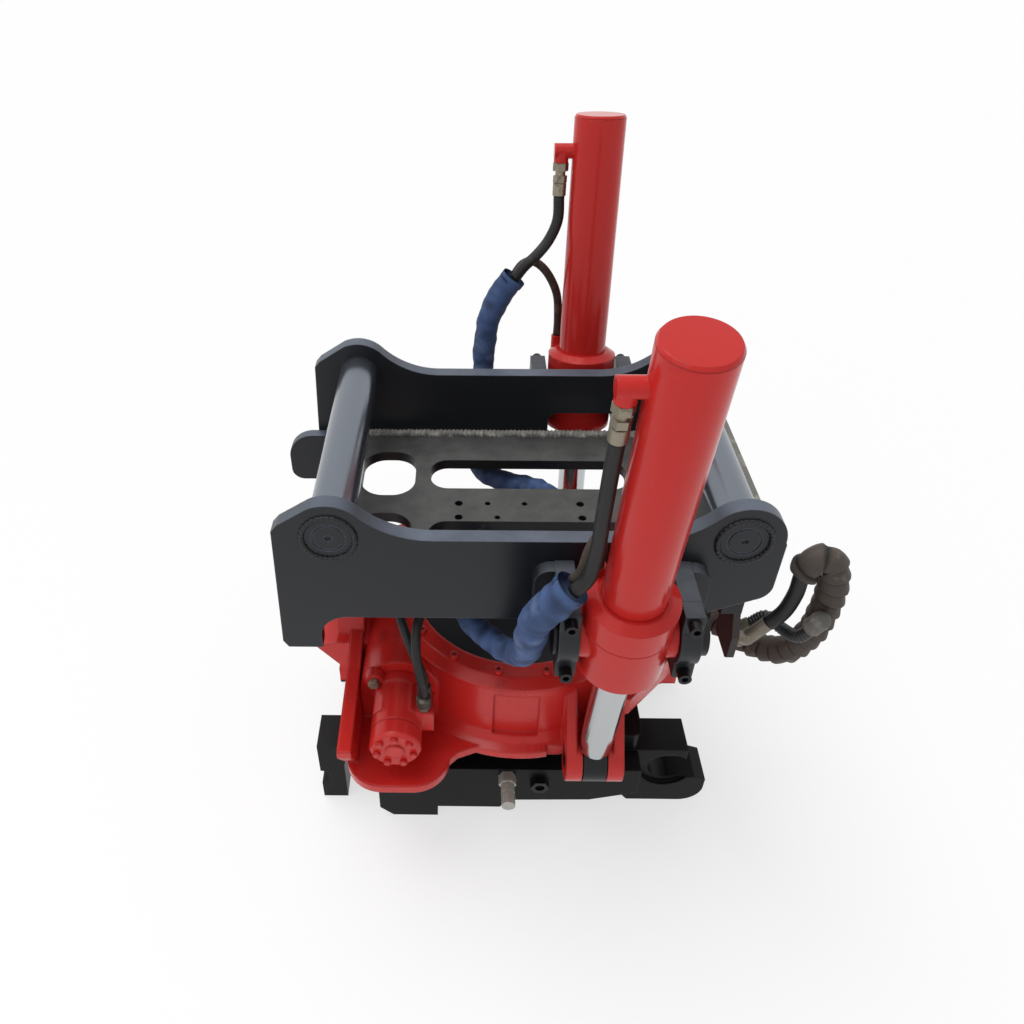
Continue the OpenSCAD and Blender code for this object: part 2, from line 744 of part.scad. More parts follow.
module housing_bushes() {
  color(bronze) {
    for (x = [-foot_ear_out, hook_ear_x]) difference() {
      bar_x(x, tilt_ear_t, tilt_r + bush_wall, 0, tilt_z);
      bar_x(x - 1, tilt_ear_t + 2, tilt_r + run_gap, 0, tilt_z);
    }
    ring(base_z, bottom_t + 4, slew_bore_r - seat_gap, hub_r + run_gap);
  }
}

module rod_pins() {
  l = eye_w + 4 + 2*clevis_t + seat_gap;
  color(zinc) for (s = [-1, 1]) {
    bar_x(cyl_x - l/2, l, rod_pin_d/2, s*rod_pin_y, rod_pin_z);
    bar_x(cyl_x + l/2, 3, rod_pin_d/2 + 5, s*rod_pin_y, rod_pin_z);
  }
}

worm_cap_t = 14;
worm_cap_boss = 8;
worm_cap_rim = 8;
spigot_l = 10;

module worm_cap() {
  color(red) translate([worm_x, lobe_end + seat_gap, worm_z]) rotate([-90, 0, 0]) union() {
    cylinder(h = worm_cap_t, r = lobe_r - worm_cap_rim);
    cylinder(h = worm_cap_t + worm_cap_boss, r = worm_journal_r + 20);
    translate([0, 0, -spigot_l]) cylinder(h = spigot_l + 2, r = worm_chamber_r - seat_gap);
  }
}

bearing_past = 56;
bearing_at = worm_l/2 + bearing_past;
bearing_w = 25;

module worm_bearings() {
  color(bright) for (s = [-1, 1]) difference() {
    bar_y(s*bearing_at - bearing_w/2, bearing_w, worm_chamber_r - seat_gap, worm_x, worm_z);
    bar_y(s*bearing_at - bearing_w, 2*bearing_w, worm_journal_r + run_gap, worm_x, worm_z);
  }
}

flange_t = 20;
flange_bolt = 42;
motor_cap_l = 34;
motor_chamfer = 6;

module motor_body() {
  back = lobe_end + seat_gap;
  color(red) translate([worm_x, -back, worm_z]) rotate([90, 0, 0]) difference() {
    union() {
      translate([0, 0, -8]) cylinder(h = 9, r = worm_chamber_r - seat_gap);
      linear_extrude(flange_t) union() {
        circle(motor_r + 4);
        for (s = [-1, 1]) translate([s*flange_bolt, -s*flange_bolt]) circle(16);
        rotate(-45) square([2*sqrt(2)*flange_bolt, 26], center = true);
      }
      linear_extrude(78) intersection() {
        square(80, center = true);
        rotate(45) square(92, center = true);
      }
      cylinder(h = motor_face - back - motor_cap_l, r = motor_r);
      translate([30, -14, 33]) cube([34, 46, 48]);
    }
    for (s = [-1, 1]) translate([s*flange_bolt, -s*flange_bolt, -1]) cylinder(h = flange_t + 2, r = 6);
    for (z = [44, 68]) translate([47, 20, z]) rotate([-90, 0, 0]) cylinder(h = 20, r = 8 + seat_gap);
  }
}

module motor_end_cap() {
  color(red) translate([worm_x, -motor_face + motor_cap_l - seat_gap, worm_z]) rotate([90, 0, 0]) union() {
    cylinder(h = motor_cap_l - motor_chamfer, r = motor_r);
    translate([0, 0, motor_cap_l - motor_chamfer])
      cylinder(h = motor_chamfer, r1 = motor_r, r2 = motor_r - 5);
    translate([0, 0, motor_cap_l]) cylinder(h = 3, r = 0.36*motor_r);
  }
}

module housing_bolts() {
  n = 7;
  color(red) {
    for (i = [0:cover_bolt_n - 1]) rotate([0, 0, (i + 0.5)*360/cover_bolt_n])
      translate([cover_bolt_ring, 0, cover_top]) rotate([180, 0, 0]) cap_screw(cover_bolt_r, cover_t - 2, 8);
    translate([worm_x, -motor_face, worm_z]) rotate([90, 0, 0]) for (i = [0:n - 1])
      translate([0.72*motor_r*cos(360*i/n + 90), 0.72*motor_r*sin(360*i/n + 90), seat_gap])
        cylinder(h = 6, r = 6.5, $fn = 6);
    translate([worm_x, -lobe_end - flange_t - 2*seat_gap, worm_z]) rotate([90, 0, 0]) for (s = [-1, 1])
      translate([s*flange_bolt, -s*flange_bolt, 0]) cylinder(h = 10, r = 10, $fn = 6);
  }
}

crimp_top = 62;

module motor_fittings() {
  color(zinc) for (z = [44, 68]) translate([worm_x + 47, -lobe_end - seat_gap - z, worm_z])
    union() {
      translate([0, 0, 24]) cylinder(h = 12, r = 8);
      translate([0, 0, 32 + seat_gap]) cylinder(h = 10, r = 11.6, $fn = 6);
      translate([0, 0, 40]) cylinder(h = crimp_top - 40, r = 10.5);
    }
}

// Worm drive

// Cross-section of the one-start thread: its crest points away from the ring gear at mid-length
function thread_r(a) =
  let(d = abs(a - 180)/360*worm_pitch, flat = 2.2, flank = 4.4)
    worm_r - 1.25*tooth_m + 2.25*tooth_m*max(0, min(1, (flat + flank - d)/flank));

module worm_shaft() {
  steps = 20;
  journal = bearing_at + bearing_w;
  color(bright) translate([worm_x, 0, worm_z]) rotate([-90, 0, 0]) union() {
    translate([0, 0, -worm_l/2]) linear_extrude(worm_l, twist = -360*worm_turns, slices = 8*worm_turns)
      polygon([for (i = [0:steps - 1]) let(a = i*360/steps) thread_r(a)*[cos(a), sin(a)]]);
    translate([0, 0, -journal]) cylinder(h = 2*journal, r = worm_journal_r);
  }
}

// One straight-sided tooth of the ring gear, pointing along +X
function tooth_points(a) =
  let(root = pitch_r - 1.25*tooth_m, tip = pitch_r + tooth_m)
    [for (p = [[root, -4.4], [tip, -1.7], [tip, 1.7], [root, 4.4]])
      [p[0]*cos(a) - p[1]*sin(a), p[0]*sin(a) + p[1]*cos(a)]];

gear_bolt_ring = hub_r - hub_wall/2;
gear_bolt_n = 12;
gear_top = worm_z + gear_w/2;

module ring_gear() {
  color(bright) translate([0, 0, worm_z - gear_w/2]) difference() {
    linear_extrude(gear_w) difference() {
      polygon([for (i = [0:teeth - 1]) each tooth_points(180 + i*360/teeth)]);
      circle(hub_r - hub_wall, $fn = 96);
    }
    for (i = [0:gear_bolt_n - 1]) rotate([0, 0, i*360/gear_bolt_n])
      translate([gear_bolt_ring, 0, -1]) cylinder(h = gear_w + 2, r = 6 + seat_gap);
  }
}

module gear_bolts() {
  color(black) for (i = [0:gear_bolt_n - 1]) rotate([0, 0, i*360/gear_bolt_n])
    translate([gear_bolt_ring, 0, gear_top]) rotate([180, 0, 0]) cap_screw(6, gear_w + 20, 10);
}

module turntable() {
  color(black) difference() {
    union() {
      ring(deck_top + seat_gap, table_t - seat_gap, table_r, core_r + 10);
      ring(table_top - 1, worm_z - gear_w/2 - seat_gap - table_top + 1, hub_r, hub_r - hub_wall);
    }
    for (i = [0:gear_bolt_n - 1]) rotate([0, 0, i*360/gear_bolt_n])
      translate([gear_bolt_ring, 0, worm_z - gear_w/2 - 24]) cylinder(h = 60, r = 6 + seat_gap);
  }
}

module swivel_core() {
  color(zinc) union() {
    translate([0, 0, deck_top + seat_gap]) cylinder(h = wall_top - 20 - deck_top, r = core_r);
    translate([0, 0, deck_top + seat_gap]) cylinder(h = 12, r = core_r + 9);
  }
}

// Tool coupler

hook_tip = tool_half + 83;
hook_top_end = tool_half + 34;
jaw_end = tool_half + 84;
cheek_low = tool_z - 45;
deck_x = [-262, 240];

module cheek_outline() {
  polygon(concat(
    [[-jaw_end, deck_under]],
    arc([-jaw_end, tool_z - 35], 20, 90, -90, 10),
    [[-jaw_end, floor_z], [-tool_half - seat_r, floor_z]],
    arc([-tool_half, tool_z], seat_r, 180, 0, 24),
    [[lock_face, cheek_low], [tool_half - 110, cheek_low], [tool_half - 66, floor_z]],
    arc([hook_tip - 45, floor_z + 45], 45, -90, 0, 10),
    [[hook_tip, tool_z - seat_r + 4], [hook_tip - 22, tool_z - seat_r + 12]],
    arc([tool_half, tool_z], seat_r, 270, 90, 24),
    [[hook_top_end, tool_z + seat_r], [hook_top_end, deck_under]]));
}

// Two cheeks, each with a saddle for one tool pin and a hook for the other
module coupler_cheeks() {
  rim_r = seat_r + 15;
  color(black) for (rear = [false, true]) on_side(rear) difference() {
    xz_plate(-coupler_out, cheek_t) cheek_outline();
    bar_y(-coupler_out - 1, cheek_t + 2, seat_r, -tool_half, tool_z);
    bar_y(-coupler_out - 1, cheek_t + 2, seat_r, tool_half, tool_z);
    bar_y(-coupler_out - 1, 9, rim_r, tool_half, tool_z);
  }
}

module coupler_bars() {
  top = deck_under - 8;
  front = coupler_out + seat_gap;
  bar_end = tool_half - 62;
  color(black) for (rear = [false, true]) on_side(rear) xz_plate(-front - bar_t, bar_t)
    polygon([[lock_face, top], [bar_end, top], [bar_end, cheek_low + 30], [bar_end - 90, cheek_low + 4],
      [-10, cheek_low], [-26, cheek_low - 25],
      [-150, cheek_low - 25], [-150, floor_z], [lock_face + 26, floor_z], [lock_face, floor_z + 26]]);
}

module coupler_deck() {
  color(black) translate([0, 0, deck_under + seat_gap]) difference() {
    linear_extrude(deck_t - seat_gap)
      soft_rect([deck_x[0], -coupler_out], [deck_x[1], coupler_out], 18);
    translate([0, 0, -1]) cylinder(h = deck_t + 2, r = core_r - 15);
  }
}

// The block between the cheeks that guides the lock pins, and the cross plate at the hook end
module lock_housing() {
  w = coupler_in - seat_gap;
  top = deck_under;
  color(black) {
    difference() {
      translate([lock_face, -w, floor_z]) cube([lock_back - lock_face, 2*w, top - floor_z]);
      for (s = [-1, 1])
        bar_x(lock_face - 1, lock_back - lock_face + 2, lock_r + run_gap, s*lock_gap/2, lock_z);
    }
    translate([deck_x[1] - 36, -w, cheek_low]) cube([30, 2*w, top - cheek_low]);
  }
}

lock_rod_r = 12;
lock_rod_l = 110;
lock_wall = 12;
lock_l = 150;
yoke_t = 25;
strap_w = 24;
strap_h = 28;

module lock_cylinder() {
  x0 = yoke_x + yoke_t + side_gap;
  color(black) difference() {
    union() {
      bar_x(x0, lock_l, lock_rod_r + lock_wall, 0, lock_z);
      for (x = [x0 + 20, x0 + lock_l - 20 - strap_w]) translate([x, -strap_h/2, lock_z])
        cube([strap_w, strap_h, deck_under - lock_z]);
    }
    bar_x(x0 - 1, lock_l - 20, lock_rod_r + run_gap, 0, lock_z);
  }
}

module lock_pins() {
  tip = lock_face + 8;
  color(bright) union() {
    for (s = [-1, 1]) bar_x(tip, yoke_x - tip + 5, lock_r, s*lock_gap/2, lock_z);
    translate([yoke_x, -lock_gap/2 - lock_r, lock_z - lock_r])
      cube([yoke_t, lock_gap + 2*lock_r, 2*lock_r]);
    bar_x(yoke_x + yoke_t - 5, lock_rod_l, lock_rod_r, 0, lock_z);
  }
}

module hose_nipples() {
  nipple = [-16, deck_under - 28];
  socket = [47, deck_under - 50];
  face = coupler_out + bar_t + 2*seat_gap;
  color(zinc) {
    translate([nipple[0], -face, nipple[1]]) rotate([90, 0, 0]) union() {
      cylinder(h = 20, r = 17, $fn = 6);
      cylinder(h = 38, r = 13);
      translate([0, 0, 42]) cylinder(h = 22, r = 13);
      cylinder(h = 60, r = 10);
    }
    translate([socket[0], -face, socket[1]]) rotate([90, 0, 0]) difference() {
      cylinder(h = 12, r = 18, $fn = 6);
      translate([0, 0, 4]) cylinder(h = 14, r = 9);
    }
  }
}

// Hoses

hose_r = 10;
gland_hose_r = 8;
sleeve_r = 19;
loop_r = 22;
loop_x = hook_lugs[1] + lug_t + seat_gap;
loop_plate_t = 12;
loop_face = loop_x + loop_plate_t;
crimp_at = [loop_face + 20, -196, -258];
crimp_l = 46;
crimp_dir = [0.6, 0, 0.8];
crimp_end = crimp_at + crimp_l*crimp_dir;
conduit_at = [loop_face + 14, -160, -276];
conduit_l = 26;
conduit_dir = [0.8, 0, 0.6];
conduit_end = conduit_at + conduit_l*conduit_dir;
clamp_x = hook_ear_out + seat_gap;

port_x = cyl_x - port_l + port_r;
port_axis = [0, -sin(lean), cos(lean)];
port_exit = [port_x, -trunnion_y, trunnion_z] + (port_up - port_r - 6 - fitting_l - seat_gap)*port_axis;
front_route = [port_exit, port_exit - 50*port_axis, [65, -371, 150], [65, -364, 85], [58, -362, 34],
  [42, -362, 12]];
front_gland_route = [[82, -304.6, 9], [82, -310, 44], [74, -322, 76], [62, -335, 64], [53, -341, 27],
  [42, -341, 12]];
front_sleeve_route = [[41.7, -352, 11.6], [20, -352, -18], [0, -348, -50], [-6, -338, -95], [-8, -316, -150],
  [-18, -286, -198], [-50, -246, -221], [-92, -196, -215], [-102, -130, -202], [-70, -66, -184],
  [-70, -block_w/2 - seat_gap, -184]];
rear_exit = [port_exit[0], -port_exit[1], port_exit[2]];
rear_axis = [0, sin(lean), cos(lean)];
rear_route = [rear_exit, rear_exit - 44*rear_axis, [50, 372, 196], [28, 360, 172], [8, 357, 153],
  [-10, 356, 128]];
rear_gland_route = [[82, 383.6, -3.5], [82, 389, 30], [74, 386, 88], [46, 381, 138], [22, 378, 154],
  [5, 376, 149], [-10, 375, 128]];
rear_sleeve_route = [[-10.6, 366, 127.2], [-30, 365, 100], [-50, 361, 60], [-64, 352, -5], [-66, 332, -80],
  [-74, 296, -150], [-80, 252, -200], [-62, 198, -210], [-20, 152, -200], [36, 118, -190], [70, 64, -184],
  [70, block_w/2 + seat_gap, -184]];
motor_x = worm_x + 47;
motor_top = worm_z + crimp_top + seat_gap;
motor_y = -lobe_end - seat_gap - 44;
motor_route_a = [[motor_x, motor_y - 24, motor_top], [motor_x, motor_y - 24, motor_top + 18],
  [-180, -236, -262], [-178, -200, -225], [-152, -140, -200], [-135, -70, -190], [-122, -18, -184],
  [-block_l/2 - seat_gap, -18, -184]];
motor_route_b = [[motor_x, motor_y, motor_top], [motor_x, motor_y, motor_top + 18], [-194, -206, -264],
  [-212, -164, -228], [-216, -92, -205], [-196, -26, -192], [-126, 22, -184],
  [-block_l/2 - seat_gap, 22, -184]];
loop_hose_route = [crimp_end, crimp_end + 30*crimp_dir, [424, -199, -150], [424, -200, -104]];
loop_route = [[424, -200, -104], [432, -200, -80], [456, -199, -76], [476, -197, -116], [482, -194, -190],
  [476, -184, -265], [454, -158, -330], [416, -104, -366], [370, -40, -380], [clamp_x + 28, -40, -380]];
conduit_route = [conduit_end, conduit_end + 30*conduit_dir, [436, -176, -216], [462, -190, -190]];

function unit(v) = v/norm(v);
function tangent(p, i) =
  let(n = len(p) - 1)
    i == 0 ? unit(p[1] - p[0])
    : i == n ? unit(p[n] - p[n - 1])
    : unit(unit(p[i + 1] - p[i]) + unit(p[i] - p[i - 1]));

// A tube swept along a route, with one ring at each of its points
module hose(route, r, side = [0.2, 0.95, 0.1]) {
  n = 10;
  last = len(route) - 1;
  points = [for (i = [0:last])
    let(t = tangent(route, i), u = unit(cross(t, side)), v = cross(t, u))
      for (k = [0:n - 1]) route[i] + r*(cos(360*k/n)*u + sin(360*k/n)*v)];
  faces = concat(
    [[for (k = [0:n - 1]) k]],
    [for (i = [0:last - 1], k = [0:n - 1])
      [i*n + k, (i + 1)*n + k, (i + 1)*n + (k + 1)%n, i*n + (k + 1)%n]],
    [[for (k = [n - 1:-1:0]) last*n + k]]);
  polyhedron(points, faces);
}

module front_hoses() {
  color(black) {
    hose(front_route, hose_r);
    hose(front_gland_route, gland_hose_r, [0.95, 0.2, 0.1]);
  }
}

module front_sleeve() { color("#2f4470") hose(front_sleeve_route, sleeve_r, [1, 0, 0.1]); }

module rear_hoses() {
  color(black) {
    hose(rear_route, hose_r);
    hose(rear_gland_route, gland_hose_r);
  }
}

module rear_sleeve() { color("#2f4470") hose(rear_sleeve_route, sleeve_r, [0.5, 0.4, -0.8]); }

module motor_hoses() {
  color(black) {
    hose(motor_route_a, gland_hose_r, [0.95, -0.2, 0.2]);
    hose(motor_route_b, gland_hose_r, [0.6, -0.2, 0.75]);
  }
}

module loop_hoses() {
  color(black) union() {
    hose(loop_hose_route, hose_r);
    hose(loop_route, loop_r, [0.3, 0.9, -0.3]);
    hose(conduit_route, hose_r);
  }
}

module loop_plate() {
  low = -294;
  color(black) yz_plate(loop_x, loop_plate_t)
    polygon([[-214, -240], [-184, -184], [-138, -184], [-138, low], [-206, low], [-214, low + 8]]);
}

// A union that turns from the plate into the line of its hose
module loop_fitting(at, dir, l) {
  base = loop_face + seat_gap;
  translate([base, at[1], at[2]]) rotate([0, 90, 0]) cylinder(h = 10, r = 15, $fn = 6);
  bar_x(base, at[0] - base, 12, at[1], at[2]);
  translate(at) sphere(12);
  translate(at) rotate([0, atan2(dir[0], dir[2]), 0]) cylinder(h = l - seat_gap, r = 12);
}

module loop_fittings() {
  color(zinc) {
    union() loop_fitting(crimp_at, crimp_dir, crimp_l);
    union() loop_fitting(conduit_at, conduit_dir, conduit_l);
  }
}

module loop_clamp() {
  color(black) translate([clamp_x, -40, -380]) rotate([0, 90, 0]) union() {
    linear_extrude(12) soft_rect([-32, -32], [32, 32], 8);
    cylinder(h = 28 - seat_gap, r = loop_r + 2);
  }
}

side_plate(false);  // side_plate_front
side_plate(true);  // side_plate_rear
web_plate();
foot_gusset();
machine_pins();
pin_guard();
tilt_lugs();
tilt_pins();
trunnion_arms();
trunnion_caps();
cap_bolts();
hose_block();
loop_plate();
loop_fittings();
loop_clamp();
barrel(false);  // barrel_front
barrel(true);  // barrel_rear
end_cap(false);  // end_cap_front
end_cap(true);  // end_cap_rear
collar(false);  // collar_front
collar(true);  // collar_rear
trunnion_washers(false);  // trunnion_washers_front
trunnion_washers(true);  // trunnion_washers_rear
port_fitting(false);  // port_fitting_front
port_fitting(true);  // port_fitting_rear
rod(false);  // rod_front
rod(true);  // rod_rear
piston(false);  // piston_front
piston(true);  // piston_rear
rod_bush(false);  // rod_bush_front
rod_bush(true);  // rod_bush_rear
rotor_housing();
housing_cover();
housing_bolts();
swivel_cap();
housing_bushes();
rod_pins();
worm_cap();
worm_bearings();
motor_body();
motor_end_cap();
motor_fittings();
worm_shaft();
turntable();
ring_gear();
gear_bolts();
swivel_core();
coupler_deck();
coupler_cheeks();
coupler_bars();
lock_housing();
lock_cylinder();
hose_nipples();
lock_pins();
front_hoses();
front_sleeve();
rear_hoses();
rear_sleeve();
motor_hoses();
loop_hoses();
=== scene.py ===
"""Looks of the excavator tilt rotator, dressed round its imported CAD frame.

Lengths in routes and sizes are millimetres, and MM turns them to Blender's metres.
"""

import logging
import math
from dataclasses import dataclass, field
from enum import Enum
from typing import Any, Callable, Iterable, Sequence

import bmesh
import bpy
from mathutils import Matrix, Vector, noise


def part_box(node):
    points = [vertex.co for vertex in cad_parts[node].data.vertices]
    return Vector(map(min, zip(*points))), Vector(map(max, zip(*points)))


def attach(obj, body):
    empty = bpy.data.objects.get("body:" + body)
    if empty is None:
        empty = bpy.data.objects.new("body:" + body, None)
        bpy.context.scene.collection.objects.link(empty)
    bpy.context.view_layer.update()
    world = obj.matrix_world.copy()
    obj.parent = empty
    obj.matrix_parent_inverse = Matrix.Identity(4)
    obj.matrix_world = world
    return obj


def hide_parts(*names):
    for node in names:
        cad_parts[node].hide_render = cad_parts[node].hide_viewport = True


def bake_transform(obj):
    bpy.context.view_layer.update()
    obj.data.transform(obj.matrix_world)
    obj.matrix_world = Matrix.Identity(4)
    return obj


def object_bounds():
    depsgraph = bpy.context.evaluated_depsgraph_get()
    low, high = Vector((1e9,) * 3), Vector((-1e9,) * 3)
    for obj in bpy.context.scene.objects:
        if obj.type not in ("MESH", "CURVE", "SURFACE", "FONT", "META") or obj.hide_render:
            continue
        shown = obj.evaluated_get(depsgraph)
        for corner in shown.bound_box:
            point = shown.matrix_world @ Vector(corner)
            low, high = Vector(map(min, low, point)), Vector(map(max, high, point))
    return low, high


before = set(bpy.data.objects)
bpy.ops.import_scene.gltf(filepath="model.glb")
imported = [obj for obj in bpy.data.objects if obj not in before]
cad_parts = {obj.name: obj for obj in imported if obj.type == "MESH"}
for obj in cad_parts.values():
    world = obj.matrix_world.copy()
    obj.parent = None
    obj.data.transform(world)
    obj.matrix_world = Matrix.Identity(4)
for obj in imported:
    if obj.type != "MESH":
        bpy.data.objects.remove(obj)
CAD_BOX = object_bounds()

MM = 0.001
LOG = logging.getLogger("tilt_rotator")
RELIEF = "relief"
# Thickness of a sleeve at its mouth
HEM_MM = 2.0
# Skew direction that puts vertices and faces in one order, as bmesh operators give them in a new order each run
ORDER = Vector((0.618, 0.3247, 0.7162))
# Length that counts as none
TINY = 1e-6
LATHE_STEPS = 32
# Depth of a turned groove that gets the full painted shade
RELIEF_MM = 2.0

# Wear: level of the noise that stays clean, how far wear lowers it, and how soft its border is
CLEAN_LEVEL, WEAR_SPAN, WEAR_FADE = 0.72, 0.4, 0.16
PATCH_DETAIL, PATCH_ROUGHNESS = 6.0, 0.65
# Dust lies on faces whose normal's height is over this
DUST_SLOPE = 0.55
# Cosine between the flat and the rounded normal where edge wear and the painted edge highlight start and where they
# are full
EDGE_START, EDGE_FULL = 0.98, 0.8
COAT_ROUGHNESS = 0.12
# Bump: the wave texture's turns for a unit of scale, then strength, detail and height
WAVE_TURNS, WEAVE_STRENGTH, GRAIN_DETAIL, BUMP_MM = 20, 0.6, 3.0, 0.7

# Loose sleeve: length of the flare, how folds and slack change round it, and their share in radius and shade
FLARE_MM = 260.0
FOLD_ROUND, SLACK_ROUND, SLACK_LENGTH, SLACK_SHARE, FOLD_SHADE = 0.9, 0.6, 4, 0.7, 0.9
# Wound strip: shares of a turn that rise and fall, its lumps, and the painted shade in the seam between turns
WRAP_RISE, WRAP_FALL = 0.8, 0.12
LUMP_MM, LUMP_ROUND, LUMP_DEPTH = 40, 2, 0.05
SEAM_HALF, SEAM_FADE = 0.03, 0.13
# Weld bead: its ripples and its lumps
RIPPLE_MM, RIPPLE_DEPTH = 8.0, 0.14
BEAD_LUMP_MM, BEAD_LUMP_ROUND, BEAD_LUMP_DEPTH = 11, 3, 0.15


def linear(hex_colour: str) -> tuple[float, float, float, float]:
    """Turns an sRGB hex colour to linear light.

    Args:
        hex_colour: Colour such as "#B02A2A".

    Returns:
        Red, green, blue and an alpha of 1.
    """
    parts = [int(hex_colour[i:i + 2], 16)/255 for i in (1, 3, 5)]
    return (*(p/12.92 if p <= 0.04045 else ((p + 0.055)/1.055)**2.4 for p in parts), 1.0)


def add_node(tree: bpy.types.NodeTree, kind: str, sockets: dict[str | int, Any] | None = None,
             **settings: Any) -> bpy.types.Node:
    """Adds a shader node with its settings and links.

    Args:
        tree: Node tree that gets the node.
        kind: Node type, such as "ShaderNodeTexNoise".
        sockets: Input name or index to a value, or to an output socket to link from.
        settings: Attributes of the node itself.

    Returns:
        The new node.
    """
    node = tree.nodes.new(kind)
    for key, value in settings.items():
        setattr(node, key, value)
    for key, value in (sockets or {}).items():
        if isinstance(value, bpy.types.NodeSocket):
            tree.links.new(value, node.inputs[key])
        else:
            node.inputs[key].default_value = value
    return node


class Grain(Enum):
    """What a surface is rough with: the size of its lumps in millimetres and their strength."""

    SMOOTH = (1.0, 0.0)
    CAST = (7.0, 0.3)
    ROLLED = (14.0, 0.1)
    SPATTER = (4.0, 0.5)


@dataclass(frozen=True)
class Finish:
    """A procedural finish, on Object coordinates or along a tube's UV map.

    Attributes:
        name: What the surface is.
        colour: Main colour, sRGB.
        worn: Colour of wear, dust or tarnish, sRGB, which on the black plates' edges is partly a painted highlight.
        wear: Share of the surface that shows it.
        wear_mm: Size of the worn patches.
        roughness: Roughness of the clean surface.
        worn_roughness: Roughness of the worn surface.
        metallic: 1 for bare metal.
        coat: Strength of a clear gloss coat.
        grain: What the surface is rough with.
        dust: Strength of dust on faces that look up.
        specular: Level of the plain reflection.
        edge_mm: Radius that the eye sees on sharp edges.
        edge_wear_and_sheen: How far the edges are rubbed to the worn colour; on the black plates this is partly a
            painted highlight.
        hollow_shade: Painted shade: brightness that is left in the hollows of a wrapped or ribbed tube.
        weave_mm: Thread spacing of a woven sleeve, coarser than real so that it shows.
    """

    name: str
    colour: str
    worn: str
    wear: float = 0.2
    wear_mm: float = 90.0
    roughness: float = 0.4
    worn_roughness: float = 0.6
    metallic: float = 0.0
    coat: float = 0.0
    grain: Grain = Grain.SMOOTH
    dust: float = 0.0
    specular: float = 0.5
    edge_mm: float = 0.0
    edge_wear_and_sheen: float = 0.0
    hollow_shade: float = 1.0
    weave_mm: float = 0.0

    def material(self) -> bpy.types.Material:
        """Makes the finish's material, or finds it if it was made before."""
        if self.name in bpy.data.materials:
            return bpy.data.materials[self.name]
        made = bpy.data.materials.new(self.name)
        made.use_nodes = True
        tree = made.node_tree
        shader = tree.nodes["Principled BSDF"]
        for socket, value in (("Metallic", self.metallic), ("Coat Weight", self.coat),
                              ("Coat Roughness", COAT_ROUGHNESS), ("Specular IOR Level", self.specular)):
            shader.inputs[socket].default_value = value
        place = add_node(tree, "ShaderNodeTexCoord").outputs["Object"]
        rounded = self._round_edges(tree)
        mask = self._wear_and_sheen_mask(tree, place, rounded)
        colour = add_node(tree, "ShaderNodeMix", {
            0: mask, 6: linear(self.colour), 7: linear(self.worn)}, data_type="RGBA").outputs[2]
        # Painted shade: the relief attribute darkens the hollows
        if self.hollow_shade < 1.0:
            relief = add_node(tree, "ShaderNodeAttribute", attribute_name=RELIEF).outputs["Fac"]
            shade = add_node(tree, "ShaderNodeMapRange", {"Value": relief, "To Min": self.hollow_shade}).outputs["Result"]
            colour = add_node(tree, "ShaderNodeMix", {0: 1.0, 6: colour, 7: shade}, data_type="RGBA",
                              blend_type="MULTIPLY").outputs[2]
        tree.links.new(colour, shader.inputs["Base Color"])
        rough = add_node(tree, "ShaderNodeMapRange", {
            "Value": mask, "To Min": self.roughness, "To Max": self.worn_roughness})
        tree.links.new(rough.outputs["Result"], shader.inputs["Roughness"])
        self._add_bump(tree, place, rounded, shader)
        return made

    def _round_edges(self, tree: bpy.types.NodeTree) -> bpy.types.NodeSocket | None:
        """Softens sharp edges to the eye.

        Args:
            tree: Node tree of the material.

        Returns:
            The rounded normal, or None where the edges stay sharp.
        """
        if not self.edge_mm:
            return None
        return add_node(tree, "ShaderNodeBevel", {"Radius": self.edge_mm*MM}, samples=4).outputs["Normal"]

    def _wear_and_sheen_mask(self, tree: bpy.types.NodeTree, place: bpy.types.NodeSocket,
                   rounded: bpy.types.NodeSocket | None) -> bpy.types.NodeSocket:
        """Mixes patches, dust and rubbed edges, which on the black plates are partly a painted highlight, to one
        mask.

        Args:
            tree: Node tree of the material.
            place: Object coordinates.
            rounded: The rounded normal, if there is one.

        Returns:
            The mask: 0 is clean and 1 is worn.
        """
        patches = add_node(tree, "ShaderNodeTexNoise", {
            "Vector": place, "Scale": 1/(self.wear_mm*MM), "Detail": PATCH_DETAIL,
            "Roughness": PATCH_ROUGHNESS}).outputs["Fac"]
        edge = CLEAN_LEVEL - WEAR_SPAN*self.wear
        mask = add_node(tree, "ShaderNodeMapRange", {
            "Value": patches, "From Min": edge, "From Max": edge + WEAR_FADE}).outputs["Result"]
        layers = []
        normal = add_node(tree, "ShaderNodeNewGeometry").outputs["Normal"]
        if self.dust:
            up = add_node(tree, "ShaderNodeSeparateXYZ", {"Vector": normal}).outputs["Z"]
            layers.append(add_node(tree, "ShaderNodeMapRange", {
                "Value": up, "From Min": DUST_SLOPE, "From Max": 1.0, "To Max": 2*self.dust}).outputs["Result"])
        # Rubbed edges, partly a painted highlight along the black plates' edges
        if self.edge_wear_and_sheen and rounded:
            level = add_node(tree, "ShaderNodeVectorMath", {0: normal, 1: rounded}, operation="DOT_PRODUCT")
            layers.append(add_node(tree, "ShaderNodeMapRange", {
                "Value": level.outputs["Value"], "From Min": EDGE_START, "From Max": EDGE_FULL,
                "To Max": 2*self.edge_wear_and_sheen}).outputs["Result"])
        for layer in layers:
            broken = add_node(tree, "ShaderNodeMath", {0: layer, 1: patches}, operation="MULTIPLY").outputs[0]
            mask = add_node(tree, "ShaderNodeMath", {0: mask, 1: broken}, operation="MAXIMUM",
                            use_clamp=True).outputs[0]
        return mask

